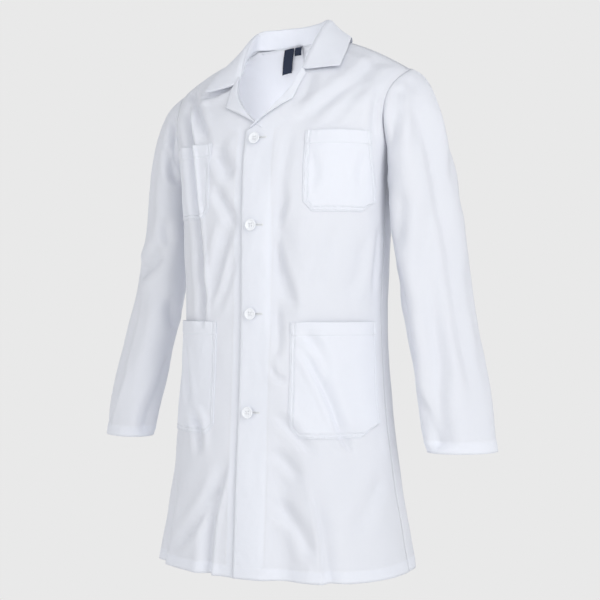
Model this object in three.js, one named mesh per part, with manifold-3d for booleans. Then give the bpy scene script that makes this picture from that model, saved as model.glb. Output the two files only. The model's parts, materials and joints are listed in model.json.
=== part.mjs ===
// A long-sleeved laboratory coat, buttoned, hanging in its worn shape.
// Every cloth piece is a thin closed sheet of its own: panels, facings, lapels, collar layers,
// sleeve tubes, patch pockets and labels. Buttons, their threads and the buttonhole stitching
// are separate solids too. Millimetres, +Z up, wearer facing -Y, wearer's left on +X.
import * as THREE from 'three';
import { mergeVertices } from 'three/addons/utils/BufferGeometryUtils.js';
import Module from 'manifold-3d';

const wasm = await Module();
wasm.setup();

// ---------- driving dimensions ----------

const CLOTH = 1.2;                 // thickness that stands in for one layer of cloth
const LAYER = 1.7;                 // distance between the middles of two stacked layers
const SEAM_GAP = 0.4;              // half of the gap left at a seam between two panels
const FRAME_SHIFT_Y = 6.7;         // moves the coat so that its box is centred on the Z axis

const SIDE_Y = 5;                  // the side seams lie in this plane
const RIDGE_Y = 40;                // the shoulder seams lie in this plane
const RIDGE_ROUND = 100;           // height over which the body closes towards the shoulder seam

const OPENING_Z = 740;             // where the lapels start to turn back
const ROWS_BELOW = 15;             // mesh rows from the hem to the lapel break
const ROWS_ABOVE = 5;              // mesh rows from there to the shoulder seam
const UNDERARM_Z = OPENING_Z * (ROWS_BELOW - 1) / ROWS_BELOW;
const TIP_Z = 843;                 // shoulder tip
const TIP_X = 216;
const NECK_X = 72;                 // the shoulder seam's neck end
const BACK_NECK_Z = 903;
const BACK_NECK_RISE = 5;          // the back neckline climbs by this from the centre to the shoulder

const OVERLAP = 19;                // each front edge passes the centre line by this
const FACING_WIDTH = 54;
const FACING_COLUMNS = 3;
const PANEL_COLUMNS = 10;

const COLLAR_CLOTH = 0.9;
const COLLAR_LAYER = 2.7;          // distance between the middles of two collar layers
const LAPEL_CORNERS = { gorgeZ: 842, notch: [70, 829], tip: [58, 790] };
const LAPEL_LIFT = 4.5;           // from the front's middle to the lapel's middle

const BUTTON_Z = [718, 575, 429, 268];
const BUTTON_RADIUS = 10;
const BUTTONHOLE = { start: -3, end: 19, height: 2.8 };
const BUTTONHOLE_RIM = 1.6;        // width of the stitching around a buttonhole
const BUTTON_LIFT = 5.4;           // from the body surface to the button's underside

const SKIRT_LINE_Z = 232;          // the left front folds outward below a line from this height
const SKIRT_LINE_X = 190;          // at the front edge to this width at the hem

const ELBOW_Z = 450;
const CUFF_Z = 205;
const BICEPS_Z = 655;
const SLEEVE_SEGMENTS = 26;
const ARMHOLE_LIFT = 2.1;           // the sleeve starts this far off the panels

// height, half width, depth in front, depth behind
const sectionAt = smoothTable([
  [0, 224, 160, 150],
  [140, 200, 150, 133],
  [270, 184, 141, 118],
  [420, 177, 132, 102],
  [560, 182, 130, 102],
  [650, 186, 127, 105],
  [690, 192, 122, 108],
  [766, 205, 104, 105],
  [800, 211, 86, 99],
  [845, 218, 60, 90],
  [885, 218, 40, 82],
  [920, 218, 20, 75],
]);

// distance from the centre plane, height of the shoulder line there
const ridgeAt = smoothTable([
  [0, 945],
  [NECK_X, 908],
  [104, 899],
  [142, 884],
  [181, 864],
  [TIP_X, TIP_Z],
]);

// height, distance of the front neck edge from the centre plane
const neckEdgeAt = smoothTable([
  [OPENING_Z, -OVERLAP],
  [756, 4],
  [780, 27],
  [810, 49],
  [TIP_Z, 59],
  [876, 65],
  [908, NECK_X],
]);

// height, centre x, centre y, long half axis, short half axis, turn of the long axis in degrees
const sleeveAt = smoothTable([
  [CUFF_Z, 318, 0, 59, 39.5, 36],
  [290, 303, 6, 62, 42, 36],
  [ELBOW_Z, 268, 22, 64, 42, 40],
  [560, 252, 27, 67, 43, 54],
  [BICEPS_Z, 241, 28, 70, 44, 68],
]);

const FRONT = { sign: -1, depth: 1, power: 2.4, armholeDip: 0.136 };
const BACK = { sign: 1, depth: 2, power: 2.9, armholeDip: 0.218 };

// ---------- small helpers ----------

function vec(x, y, z) {
  return new THREE.Vector3(x, y, z);
}

function smoothTable(rows) {
  const last = rows.length - 1;
  const slopes = rows.map((row, i) => {
    const before = rows[Math.max(i - 1, 0)];
    const after = rows[Math.min(i + 1, last)];
    return row.map((_, k) => (after[k] - before[k]) / (after[0] - before[0]));
  });
  return (at) => {
    let i = 0;
    while (i < last - 1 && at > rows[i + 1][0]) i += 1;
    const span = rows[i + 1][0] - rows[i][0];
    const t = THREE.MathUtils.clamp((at - rows[i][0]) / span, 0, 1);
    const rise = t * t * (3 - 2 * t);
    const leave = t * (1 - t) * (1 - t) * span;
    const arrive = t * t * (t - 1) * span;
    return rows[i].slice(1).map((value, k) => {
      const next = rows[i + 1][k + 1];
      return value + (next - value) * rise + slopes[i][k + 1] * leave + slopes[i + 1][k + 1] * arrive;
    });
  };
}

// Turns a closed mesh the right way out where a mapping has turned it inside out.
function facingOut(geometry) {
  const at = geometry.attributes.position;
  const index = geometry.index;
  const corners = [new THREE.Vector3(), new THREE.Vector3(), new THREE.Vector3()];
  let volume = 0;
  for (let i = 0; i < index.count; i += 3) {
    corners.forEach((corner, k) => corner.fromBufferAttribute(at, index.getX(i + k)));
    volume += corners[0].dot(corners[1].cross(corners[2]));
  }
  if (volume < 0) {
    for (let i = 0; i < index.count; i += 3) {
      const second = index.getX(i + 1);
      index.setX(i + 1, index.getX(i + 2));
      index.setX(i + 2, second);
    }
  }
  return geometry;
}

function positionOnly(geometry) {
  const copy = geometry.clone();
  copy.deleteAttribute('normal');
  copy.deleteAttribute('uv');
  return mergeVertices(copy, 1e-4);
}

function toSolid(geometry) {
  const merged = positionOnly(geometry);
  return new wasm.Manifold(new wasm.Mesh({
    numProp: 3,
    vertProperties: Float32Array.from(merged.attributes.position.array),
    triVerts: Uint32Array.from(merged.index.array),
  }));
}

function toGeometry(solid) {
  const mesh = solid.getMesh();
  const geometry = new THREE.BufferGeometry();
  geometry.setAttribute('position', new THREE.BufferAttribute(Float32Array.from(mesh.vertProperties), 3));
  geometry.setIndex(new THREE.BufferAttribute(Uint32Array.from(mesh.triVerts), 1));
  geometry.computeVertexNormals();
  return geometry;
}

// Moves every vertex of a geometry by a function of its own coordinates.
function reshape(geometry, place) {
  const at = geometry.attributes.position;
  for (let i = 0; i < at.count; i += 1) {
    const point = place(at.getX(i), at.getY(i), at.getZ(i));
    at.setXYZ(i, point.x, point.y, point.z);
  }
  facingOut(geometry);
  geometry.computeVertexNormals();
  return geometry;
}

// The direction off a surface, from two short steps that stay inside 0..1.
function offSurface(surface, u, v, outward) {
  const step = 2e-3;
  const here = surface(u, v);
  const du = u < 0.5 ? step : -step;
  const dv = v < 0.5 ? step : -step;
  const alongU = surface(u + du, v).sub(here).divideScalar(du);
  const alongV = surface(u, v + dv).sub(here).divideScalar(dv);
  return alongU.cross(alongV).normalize().multiplyScalar(outward);
}

// A closed sheet of even thickness laid on surface(u, v); at the hem its edge stays level.
function sheet(surface, columns, rows, { offset = () => 0, thickness = CLOTH, outward = 1 } = {}) {
  const box = new THREE.BoxGeometry(1, 1, 1, columns, rows, 1);
  return reshape(box, (x, y, z) => {
    const u = x + 0.5;
    const v = y + 0.5;
    const base = surface(u, v);
    const away = offSurface(surface, u, v, outward).multiplyScalar(offset(u, v, base) + z * thickness);
    if (base.z === 0) away.z = 0;
    return base.add(away);
  });
}

// ---------- the body of the coat ----------

// A level section is a superellipse, one half in front of the side seams and one behind.
// q runs from the centre line (0) to the side seam (1) and is negative past the centre line.
function bodyPoint(side, q, z) {
  const section = sectionAt(z);
  const halfWidth = section[0];
  const halfDepth = section[side.depth] - side.sign * SIDE_Y;
  const angle = (1 - q) * Math.PI / 2;
  const across = Math.abs(Math.cos(angle) / halfWidth) ** side.power;
  const along = Math.abs(Math.sin(angle) / halfDepth) ** side.power;
  const reach = (across + along) ** (-1 / side.power);
  const x = reach * Math.cos(angle);
  const open = SIDE_Y + side.sign * (SEAM_GAP + reach * Math.sin(angle));
  const below = THREE.MathUtils.clamp((ridgeAt(Math.abs(x))[0] - z) / RIDGE_ROUND, 0, 1);
  const fullness = Math.sqrt(1 - (1 - below) ** 2);
  const ridge = RIDGE_Y + side.sign * SEAM_GAP;
  return vec(x, ridge + (open - ridge) * fullness, z);
}

function qAt(side, x, z) {
  const section = sectionAt(z);
  const halfDepth = section[side.depth] - side.sign * SIDE_Y;
  const share = Math.min(Math.abs(x) / section[0], 1) ** side.power;
  const depth = halfDepth * (1 - share) ** (1 / side.power);
  return 1 - Math.atan2(depth, x) / (Math.PI / 2);
}

function armholeQ(side, z) {
  const rise = THREE.MathUtils.clamp((z - UNDERARM_Z) / (TIP_Z - UNDERARM_Z), 0, 1);
  return 1 - side.armholeDip * Math.sin(Math.PI * rise) ** 0.6;
}

// q of a panel's column: the first columns keep their distance from the inner edge, the rest
// spread to the side seam and the armhole.
function columnQ(side, u, z, inner, width, columns) {
  const split = columns / PANEL_COLUMNS;
  if (u <= split) return qAt(side, inner + width * u / split, z);
  const from = qAt(side, inner + width, z);
  return from + (armholeQ(side, z) - from) * (u - split) / (1 - split);
}

function frontQ(u, z) {
  return columnQ(FRONT, u, z, neckEdgeAt(z)[0], FACING_WIDTH, FACING_COLUMNS);
}

function backQ(u, z) {
  return columnQ(BACK, u, z, SEAM_GAP, NECK_X - SEAM_GAP, 4);
}

function frontTop(x) {
  return ridgeAt(x)[0];
}

function backTop(x) {
  return x < NECK_X ? BACK_NECK_Z + BACK_NECK_RISE * (x / NECK_X) ** 2 : ridgeAt(x)[0];
}

// Panel surface: u from the inner edge to the side, v from the hem to the shoulder.
function panelSurface(side, qOf, topOf) {
  const split = ROWS_BELOW / (ROWS_BELOW + ROWS_ABOVE);
  return (u, v) => {
    if (v <= split) {
      const z = OPENING_Z * v / split;
      return bodyPoint(side, qOf(u, z), z);
    }
    let top = (TIP_Z + BACK_NECK_Z) / 2;
    for (let pass = 0; pass < 12; pass += 1) {
      top = topOf(Math.max(bodyPoint(side, qOf(u, top), top).x, 0));
    }
    const z = OPENING_Z + (top - OPENING_Z) * (v - split) / (1 - split);
    return bodyPoint(side, qOf(u, z), z);
  };
}

// The left front lies over the right one, so it stands off by two layers near the centre.
function leftStandOff(x) {
  return 2 * LAYER * (1 - THREE.MathUtils.smoothstep(x, FACING_WIDTH - OVERLAP + 2, 78));
}

const frontSurface = panelSurface(FRONT, frontQ, frontTop);
const backSurface = panelSurface(BACK, backQ, backTop);

function facingSurface(u, v) {
  const z = OPENING_Z * v;
  return bodyPoint(FRONT, qAt(FRONT, -OVERLAP + FACING_WIDTH * u, z), z);
}

function frontPanel(offset) {
  return sheet(frontSurface, PANEL_COLUMNS, ROWS_BELOW + ROWS_ABOVE, { offset });
}

function backPanel() {
  return sheet(backSurface, PANEL_COLUMNS, ROWS_BELOW + ROWS_ABOVE, { outward: -1 });
}

function facing(offset) {
  return sheet(facingSurface, FACING_COLUMNS, ROWS_BELOW, { offset: () => offset });
}

// ---------- buttons, threads and buttonholes ----------

// Where a button stands: the point on the body surface and the direction off it.
function buttonSeat(z) {
  const seat = bodyPoint(FRONT, 0, z);
  const lower = bodyPoint(FRONT, 0, z - 5);
  const upper = bodyPoint(FRONT, 0, z + 5);
  const up = upper.sub(lower).normalize();
  return { seat, away: vec(1, 0, 0).cross(up).normalize() };
}

// Places a geometry made about its own Z axis so that the axis leaves the coat at a button.
function atButton(z, geometry) {
  const { seat, away } = buttonSeat(z);
  const turn = new THREE.Matrix4().makeBasis(vec(1, 0, 0), away.clone().cross(vec(1, 0, 0)), away);
  return geometry.applyMatrix4(turn.setPosition(seat));
}

function rod(radius, from, to, x, y, segments) {
  const geometry = new THREE.CylinderGeometry(radius, radius, to - from, segments);
  geometry.rotateX(Math.PI / 2);
  geometry.translate(x, y, (from + to) / 2);
  return geometry;
}

const HOLE_SPACING = 1.9;
const HOLES = [[1, 1], [-1, 1], [-1, -1], [1, -1]].map(([x, y]) => [x * HOLE_SPACING, y * HOLE_SPACING]);

function buttonGeometry() {
  const profile = [
    [0, 0], [7.6, 0], [9.2, 0.7], [BUTTON_RADIUS, 1.7], [9.3, 2.9], [8.2, 3.1], [7, 2.2], [0, 1.9],
  ].map(([r, h]) => new THREE.Vector2(r, h));
  const body = new THREE.LatheGeometry(profile, 16);
  body.rotateX(Math.PI / 2);
  body.translate(0, 0, BUTTON_LIFT);
  facingOut(body);
  let solid = toSolid(body);
  for (const [x, y] of HOLES) {
    solid = solid.subtract(toSolid(rod(1.05, BUTTON_LIFT - 1, BUTTON_LIFT + 4, x, y, 8)));
  }
  return toGeometry(solid);
}

// The sewing thread: a shank through the buttonhole, a pad under the button, a post in each
// hole and two bars across the front.
function threadGeometry() {
  const pad = [BUTTON_LIFT - 0.75, BUTTON_LIFT - 0.35];
  const bars = [BUTTON_LIFT + 2.5, BUTTON_LIFT + 3.1];
  let solid = toSolid(rod(0.95, 1, pad[1], 0, 0, 8));
  solid = solid.add(toSolid(rod(3.4, pad[0], pad[1], 0, 0, 10)));
  for (const [x, y] of HOLES) {
    solid = solid.add(toSolid(rod(0.6, pad[0] + 0.1, bars[0] + 0.2, x, y, 6)));
  }
  for (const side of [-1, 1]) {
    const bar = new THREE.BoxGeometry(2 * HOLE_SPACING + 1.4, 1.1, bars[1] - bars[0]);
    bar.translate(0, side * HOLE_SPACING, (bars[0] + bars[1]) / 2);
    solid = solid.add(toSolid(bar));
  }
  return toGeometry(solid);
}

function slotCutter(z) {
  const length = BUTTONHOLE.end - BUTTONHOLE.start;
  const box = new THREE.BoxGeometry(length, BUTTONHOLE.height, 12);
  box.translate(BUTTONHOLE.start + length / 2, 0, 5);
  return toSolid(atButton(z, box));
}

function rectangle(path, left, right, halfHeight) {
  path.moveTo(left, -halfHeight);
  path.lineTo(right, -halfHeight);
  path.lineTo(right, halfHeight);
  path.lineTo(left, halfHeight);
  path.lineTo(left, -halfHeight);
  return path;
}

function buttonholeStitch(z) {
  const { start, end, height } = BUTTONHOLE;
  const play = 0.2;
  const outline = rectangle(
    new THREE.Shape(), start - BUTTONHOLE_RIM, end + BUTTONHOLE_RIM, height / 2 + BUTTONHOLE_RIM);
  outline.holes.push(rectangle(new THREE.Path(), start - play, end + play, height / 2 + play));
  const ring = new THREE.ExtrudeGeometry(outline, { depth: 0.35, bevelEnabled: false });
  ring.translate(0, 0, 2 * LAYER + CLOTH / 2 + 0.3);
  return atButton(z, ring);
}

// ---------- the left skirt, which swings outward below the last button ----------

function cutAtSkirt(solid, keepUpper) {
  const length = Math.hypot(SKIRT_LINE_Z, SKIRT_LINE_X);
  const normal = [SKIRT_LINE_Z / length, 0, SKIRT_LINE_X / length];
  const distance = SKIRT_LINE_Z * SKIRT_LINE_X / length;
  if (keepUpper) return solid.trimByPlane(normal, distance + SEAM_GAP);
  return solid.trimByPlane(normal.map((part) => -part), -distance + SEAM_GAP);
}

function withButtonholes(geometry) {
  return BUTTON_Z.reduce((solid, z) => solid.subtract(slotCutter(z)), toSolid(geometry));
}

// ---------- lapels and collar ----------

// A lapel: the top of a front and its facing, turned back along the line from the break to the
// gorge and lying on the chest. Its corners are given as distance from the centre and height.
function lapel(breakZ, standOff) {
  const surface = (u, v) => {
    const z = breakZ + (LAPEL_CORNERS.gorgeZ - breakZ) * u;
    const inner = new THREE.Vector2(neckEdgeAt(z)[0] + 1, z);
    const outer = new THREE.Vector2(...LAPEL_CORNERS.tip)
      .lerp(new THREE.Vector2(...LAPEL_CORNERS.notch), u);
    const at = inner.lerp(outer, v);
    return bodyPoint(FRONT, qAt(FRONT, at.x, at.y), at.y);
  };
  const offset = (u, v, base) => standOff(base.x) + LAPEL_LIFT;
  return sheet(surface, 5, 4, { thickness: 2 * CLOTH, offset });
}

// A curve round the whole collar from the points of its left half, front end to centre back.
function collarCurve(left) {
  const right = left.slice(0, -1).reverse().map((p) => vec(-p.x, p.y, p.z));
  return new THREE.CatmullRomCurve3([...left, ...right]);
}

// The neck edge of the panels: up the left front, then round the left back.
function neckEdgePoints() {
  const front = [TIP_Z, 868, 890, 907].map(
    (z) => bodyPoint(FRONT, qAt(FRONT, neckEdgeAt(z)[0], z), z));
  const back = [45, 0].map((x) => bodyPoint(BACK, qAt(BACK, x, backTop(x)), backTop(x)));
  return [...front, ...back];
}

const neckSeam = collarCurve(neckEdgePoints());
const collarRoll = collarCurve([
  vec(57, -58, 851), vec(65, -27, 894), vec(68, 8, 925), vec(64, 38, 941), vec(38, 59, 941),
  vec(0, 67, 939),
]);
const collarEdge = collarCurve([
  vec(125, -52, 848), vec(126, -22, 871), vec(111, 37, 908), vec(90, 73, 895), vec(45, 88, 888),
  vec(0, 92, 888),
]);

function collarStand() {
  const surface = (u, v) => {
    const along = 0.08 + 0.84 * u;
    const foot = neckSeam.getPoint(along).add(vec(0, 0, 2.4));
    const head = collarRoll.getPoint(along).add(vec(0, 0, -3.5));
    return foot.lerp(head, v);
  };
  return sheet(surface, 20, 2, {});
}

// One layer of the part of the collar that turns down, drawn back from the one outside it.
function collarLeaf(depth) {
  const surface = (u, v) => {
    const top = collarRoll.getPoint(u);
    const away = vec(top.x, top.y - 15, 0).normalize();
    top.addScaledVector(away, 5.5).add(vec(0, 0, 1));
    const edge = collarEdge.getPoint(u);
    const bulge = Math.sin(Math.PI * v) * 3;
    return top.lerp(edge, v).addScaledVector(away, bulge);
  };
  return sheet(surface, 40, 6, { offset: () => -depth, thickness: COLLAR_CLOTH, outward: -1 });
}

// ---------- sleeves ----------

function armholePoint(turn) {
  const side = turn < 0.5 ? FRONT : BACK;
  const rise = (1 + Math.cos(2 * Math.PI * turn)) / 2;
  const z = UNDERARM_Z + (TIP_Z - UNDERARM_Z) * rise;
  const q = armholeQ(side, z);
  const here = bodyPoint(side, q, z);
  const across = here.clone().sub(bodyPoint(side, q - 0.01, z));
  const up = here.clone().sub(bodyPoint(side, q, z - 1));
  const away = across.cross(up).normalize().multiplyScalar(-side.sign);
  return here.addScaledVector(away, ARMHOLE_LIFT).add(vec(SEAM_GAP, 0, 0));
}

function sleeveRing(turn, z) {
  const [x, y, long, short, degrees] = sleeveAt(z);
  const tilt = degrees * Math.PI / 180;
  const around = 2 * Math.PI * turn;
  const shortWay = vec(Math.sin(tilt), -Math.cos(tilt), 0).multiplyScalar(short * Math.cos(around));
  const longWay = vec(Math.cos(tilt), Math.sin(tilt), 0).multiplyScalar(-long * Math.sin(around));
  return vec(x, y, z).add(shortWay).add(longWay);
}

// The sleeve head: from the armhole out and down to the first level ring.
function sleeveHead(turn, share) {
  const rise = (1 + Math.cos(2 * Math.PI * turn)) / 2;
  const from = armholePoint(turn);
  const to = sleeveRing(turn, BICEPS_Z);
  const reach = from.distanceTo(to);
  const leave = vec(0.2 + 0.65 * rise, -0.25 * Math.sin(2 * Math.PI * turn), 0.65 * rise - 1.05);
  const arrive = vec(0.12, 0, -1);
  leave.normalize().multiplyScalar(reach * share * (1 - share) ** 2);
  arrive.normalize().multiplyScalar(reach * share * share * (share - 1));
  return from.lerp(to, share * share * (3 - 2 * share)).add(leave).add(arrive);
}

function upperSleeve(turn, v) {
  const headShare = 5 / 9;
  if (v < headShare) return sleeveHead(turn, v / headShare);
  const share = (v - headShare) / (1 - headShare);
  return sleeveRing(turn, BICEPS_Z + (ELBOW_Z + SEAM_GAP - BICEPS_Z) * share);
}

function lowerSleeve(turn, v) {
  return sleeveRing(turn, ELBOW_Z - SEAM_GAP + (CUFF_Z - ELBOW_Z + SEAM_GAP) * v);
}

// A tube of cloth: a thin ring section turned once, then carried onto surface(turn, v).
function tube(surface, rows) {
  const radius = 10;
  const outer = [];
  for (let i = 0; i <= rows; i += 1) outer.push(new THREE.Vector2(radius + 0.5, i / rows));
  const inner = outer.map((point) => new THREE.Vector2(radius - 0.5, point.y)).reverse();
  const profile = [...outer, ...inner, outer[0].clone()];
  const lathe = new THREE.LatheGeometry(profile, SLEEVE_SEGMENTS);
  const wrapped = (turn, v) => surface(((turn % 1) + 1) % 1, v);
  return reshape(lathe, (x, y, z) => {
    const steps = Math.round(Math.atan2(x, z) / (2 * Math.PI) * SLEEVE_SEGMENTS);
    const turn = ((steps / SLEEVE_SEGMENTS) + 1) % 1;
    const here = wrapped(turn, y);
    const step = 2e-3;
    const dv = y < 0.5 ? step : -step;
    const around = wrapped(turn + step, y).sub(wrapped(turn - step, y));
    const along = wrapped(turn, y + dv).sub(here).divideScalar(dv);
    const away = around.cross(along).normalize();
    const level = here.z;
    here.addScaledVector(away, -(Math.hypot(x, z) - radius) * CLOTH);
    if (y === 0 || y === 1) here.z = level;
    return here;
  });
}

// ---------- patch pockets ----------

// A patch pocket stands a little off the front; its lower corners are cut off at a slant.
function pocket({ top, bottom, inner, outer, corner, columns }) {
  const surface = (u, v) => {
    const z = bottom + (top - bottom) * v;
    const cut = Math.max(0, 1 - (z - bottom) / corner);
    const left = inner(z) + corner * 0.8 * cut;
    const right = outer(z) - corner * 0.8 * cut;
    const from = qAt(FRONT, left, z);
    const to = qAt(FRONT, right, z);
    return bodyPoint(FRONT, from + (to - from) * u, z);
  };
  const puff = (u, v) => 2.2 * Math.sin(Math.PI * u) * (0.25 + 0.75 * Math.sin(Math.PI * Math.min(v + 0.2, 1)));
  return sheet(surface, columns, 8, { offset: (u, v, base) => 2.7 + leftStandOff(base.x) + puff(u, v) });
}

const CHEST_POCKET = {
  top: 728, bottom: 596, inner: () => 86, outer: () => 180, corner: 17, columns: 7,
};
const HIP_POCKET = {
  top: 416, bottom: 228, inner: () => 68, outer: (z) => sectionAt(z)[0] - 1.5, corner: 19, columns: 9,
};

// ---------- labels inside the back neck ----------

const LABEL_TOP = vec(0, 64, 900);
const LABEL_LEAN = 0.24;           // radians, so that it follows the back

function label(x, width, length) {
  const plate = new THREE.BoxGeometry(width, 0.8, length);
  plate.translate(0, 0, -length / 2);
  plate.rotateX(LABEL_LEAN);
  plate.translate(x, LABEL_TOP.y, LABEL_TOP.z);
  return plate;
}

// ---------- materials ----------

function cloth(color, roughness = 0.85) {
  return new THREE.MeshStandardMaterial({ color, roughness, metalness: 0 });
}

const SHELL = cloth(0xeef0f3);
const DOUBLED = cloth(0xf6f7f9);
const LINING = cloth(0xe4e6ea);
const THREAD = cloth(0xf2f3f5, 0.7);
const PLASTIC = cloth(0xf7f7f5, 0.35);
const NAVY = cloth(0x232c4a, 0.8);

// ---------- assembly ----------

const coat = new THREE.Group();
coat.position.y = FRAME_SHIFT_Y;

function add(name, geometry, material, mirrored = false) {
  const mesh = new THREE.Mesh(geometry, material);
  mesh.name = name;
  if (mirrored) mesh.scale.x = -1;
  coat.add(mesh);
}

function addPair(name, makeGeometry, material) {
  add(`${name}_left`, makeGeometry(), material);
  add(`${name}_right`, makeGeometry(), material, true);
}

const leftFront = withButtonholes(frontPanel((u, v, base) => leftStandOff(base.x)));
const leftFacing = withButtonholes(facing(LAYER));
add('front_left', toGeometry(cutAtSkirt(leftFront, true)), SHELL);
add('front_left_skirt', toGeometry(cutAtSkirt(leftFront, false)), SHELL);
add('facing_left', toGeometry(cutAtSkirt(leftFacing, true)), DOUBLED);
add('facing_left_skirt', toGeometry(cutAtSkirt(leftFacing, false)), DOUBLED);
add('front_right', frontPanel(() => 0), SHELL, true);
add('facing_right', facing(-LAYER), DOUBLED, true);
addPair('back', backPanel, SHELL);

add('lapel_left', lapel(743, leftStandOff), DOUBLED);
add('lapel_right', lapel(766, () => 0), DOUBLED, true);
add('collar_stand', collarStand(), DOUBLED);
add('top_collar', collarLeaf(0), DOUBLED);
add('collar_interlining', collarLeaf(COLLAR_LAYER), LINING);
add('under_collar', collarLeaf(2 * COLLAR_LAYER), LINING);

addPair('sleeve_upper', () => tube(upperSleeve, 18), SHELL);
addPair('sleeve_lower', () => tube(lowerSleeve, 5), SHELL);
addPair('chest_pocket', () => pocket(CHEST_POCKET), DOUBLED);
addPair('hip_pocket', () => pocket(HIP_POCKET), DOUBLED);

BUTTON_Z.forEach((z, i) => {
  add(`button_${i + 1}`, atButton(z, buttonGeometry()), PLASTIC);
  add(`button_thread_${i + 1}`, atButton(z, threadGeometry()), THREAD);
  add(`buttonhole_stitch_${i + 1}`, buttonholeStitch(z), THREAD);
});

add('neck_label', label(-22, 19, 42), NAVY);
add('size_tab', label(-4, 13, 14), NAVY);

export default coat;
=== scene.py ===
"""A buttoned laboratory coat in white cloth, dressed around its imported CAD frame.

Lengths inside the shape functions are millimetres in the frame's own axes (+Z up, the buttoned
front faces -Y, the wearer's left is +X); meshes are written in metres.
"""

import json
import math

import bpy
import numpy as np
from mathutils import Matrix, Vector


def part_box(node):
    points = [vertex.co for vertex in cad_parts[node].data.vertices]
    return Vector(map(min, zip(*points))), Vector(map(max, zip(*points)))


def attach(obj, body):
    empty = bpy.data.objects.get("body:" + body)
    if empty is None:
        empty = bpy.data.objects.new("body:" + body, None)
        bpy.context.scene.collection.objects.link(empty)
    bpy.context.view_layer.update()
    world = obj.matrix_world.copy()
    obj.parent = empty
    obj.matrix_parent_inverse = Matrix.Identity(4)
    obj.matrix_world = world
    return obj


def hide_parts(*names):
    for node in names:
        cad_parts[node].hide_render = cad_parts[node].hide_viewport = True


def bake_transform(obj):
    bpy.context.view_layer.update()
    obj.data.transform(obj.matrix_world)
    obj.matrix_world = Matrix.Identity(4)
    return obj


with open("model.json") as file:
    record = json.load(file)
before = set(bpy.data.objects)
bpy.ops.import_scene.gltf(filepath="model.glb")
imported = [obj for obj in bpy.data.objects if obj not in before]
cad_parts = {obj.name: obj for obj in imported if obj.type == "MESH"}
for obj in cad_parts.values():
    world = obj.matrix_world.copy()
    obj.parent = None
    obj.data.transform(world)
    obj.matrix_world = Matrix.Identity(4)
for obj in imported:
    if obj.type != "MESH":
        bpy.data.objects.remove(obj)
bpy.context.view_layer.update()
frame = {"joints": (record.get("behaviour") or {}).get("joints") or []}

MM = 0.001
HANDS = (("left", 1), ("right", -1))

# ---------- places and sizes read from the frame ----------


def node_box(name):
    """Lowest and highest corners of a CAD node, in millimetres."""
    low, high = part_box(name)
    return np.array(low) / MM, np.array(high) / MM


BACK_HIGH = node_box("back_left")[1]
FRONT_LOW, FRONT_HIGH = node_box("front_right")
CENTRE_Y = (BACK_HIGH[1] + FRONT_LOW[1]) / 2
HEM_BEHIND = 151                    # from the body's datum plane to the outside of the back hem
SHIFT_Y = BACK_HIGH[1] - HEM_BEHIND
OVERLAP = round(FRONT_HIGH[0])      # each front edge passes the centre line by this
BUTTON_CENTRES = [sum(node_box(f"button_{i}")) / 2 for i in range(1, 5)]
JOINTS = {joint["name"]: joint for joint in frame["joints"]}

# ---------- the body's driving dimensions ----------

SIDE_Y = 5                          # plane of the side seams
RIDGE_Y = 40                        # plane of the shoulder seams
RIDGE_ROUND = 100                   # height over which the body closes towards the shoulder seam
OPENING_Z = 733                     # where the front edges part
UNDERARM_Z = 691
TIP_X, TIP_Z = 216, 843             # shoulder tip
NECK_X = 72                         # the shoulder seam's neck end
BACK_NECK_Z = 907
BACK_NECK_RISE = 1                  # the back neckline climbs by this from the centre to the shoulder
FACING_WIDTH = 54
FACING_TOP = 727                    # where the facing turns out of sight under the lapel
LAYER = 1.7                         # distance between the middles of two stacked layers
CLOTH = 0.7                         # drawn thickness of one layer
DOUBLE = 1.3                        # drawn thickness where the cloth is folded over
HEM = 20                            # depth of the turned-up hems
BICEPS_Z, SPLIT_Z, ELBOW_Z, CUFF_Z = 655, 530, 450, 205
POCKET_BAND = 22                    # depth of the hem along a pocket's mouth


def smooth_table(rows):
    """A smooth curve through rows of (position, value, value, ...), held level past its ends."""
    rows = np.array(rows, float)
    at, values = rows[:, 0], rows[:, 1:]
    before = np.maximum(np.arange(len(at)) - 1, 0)
    after = np.minimum(np.arange(len(at)) + 1, len(at) - 1)
    slopes = (values[after] - values[before]) / (at[after] - at[before])[:, None]

    def read(x):
        x = np.clip(np.asarray(x, float), at[0], at[-1])
        i = np.clip(np.searchsorted(at, x) - 1, 0, len(at) - 2)
        span = at[i + 1] - at[i]
        t = (x - at[i]) / span
        rise = (t * t * (3 - 2 * t))[..., None]
        leave = (t * (1 - t) ** 2 * span)[..., None]
        arrive = (t * t * (t - 1) * span)[..., None]
        bent = values[i] * (1 - rise) + values[i + 1] * rise
        return bent + slopes[i] * leave + slopes[i + 1] * arrive

    return read


# height, half width, depth in front, depth behind
section_at = smooth_table([
    [0, 224, 160, 150],
    [140, 200, 150, 133],
    [270, 184, 141, 118],
    [420, 177, 132, 102],
    [560, 182, 130, 102],
    [650, 186, 127, 105],
    [690, 192, 122, 108],
    [766, 205, 104, 105],
    [800, 211, 86, 99],
    [845, 218, 60, 90],
    [885, 218, 40, 82],
    [920, 218, 20, 75],
])

# distance from the centre plane, height of the shoulder line
ridge_at = smooth_table([
    [0, 945],
    [NECK_X, 908],
    [104, 899],
    [142, 884],
    [181, 864],
    [TIP_X, TIP_Z],
])

# height, distance of the front neck edge from the centre plane
neck_edge_at = smooth_table([
    [OPENING_Z, -OVERLAP],
    [748, 3],
    [772, 26],
    [803, 48],
    [TIP_Z, 59],
    [876, 65],
    [908, NECK_X],
])

# height, centre x, centre y, long half axis, short half axis, turn of the long axis in degrees
sleeve_at = smooth_table([
    [CUFF_Z, 318, 0, 59, 39.5, 36],
    [290, 303, 6, 62, 42, 36],
    [ELBOW_Z, 268, 22, 64, 42, 40],
    [560, 252, 27, 67, 43, 54],
    [BICEPS_Z, 241, 28, 70, 44, 68],
])


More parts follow.
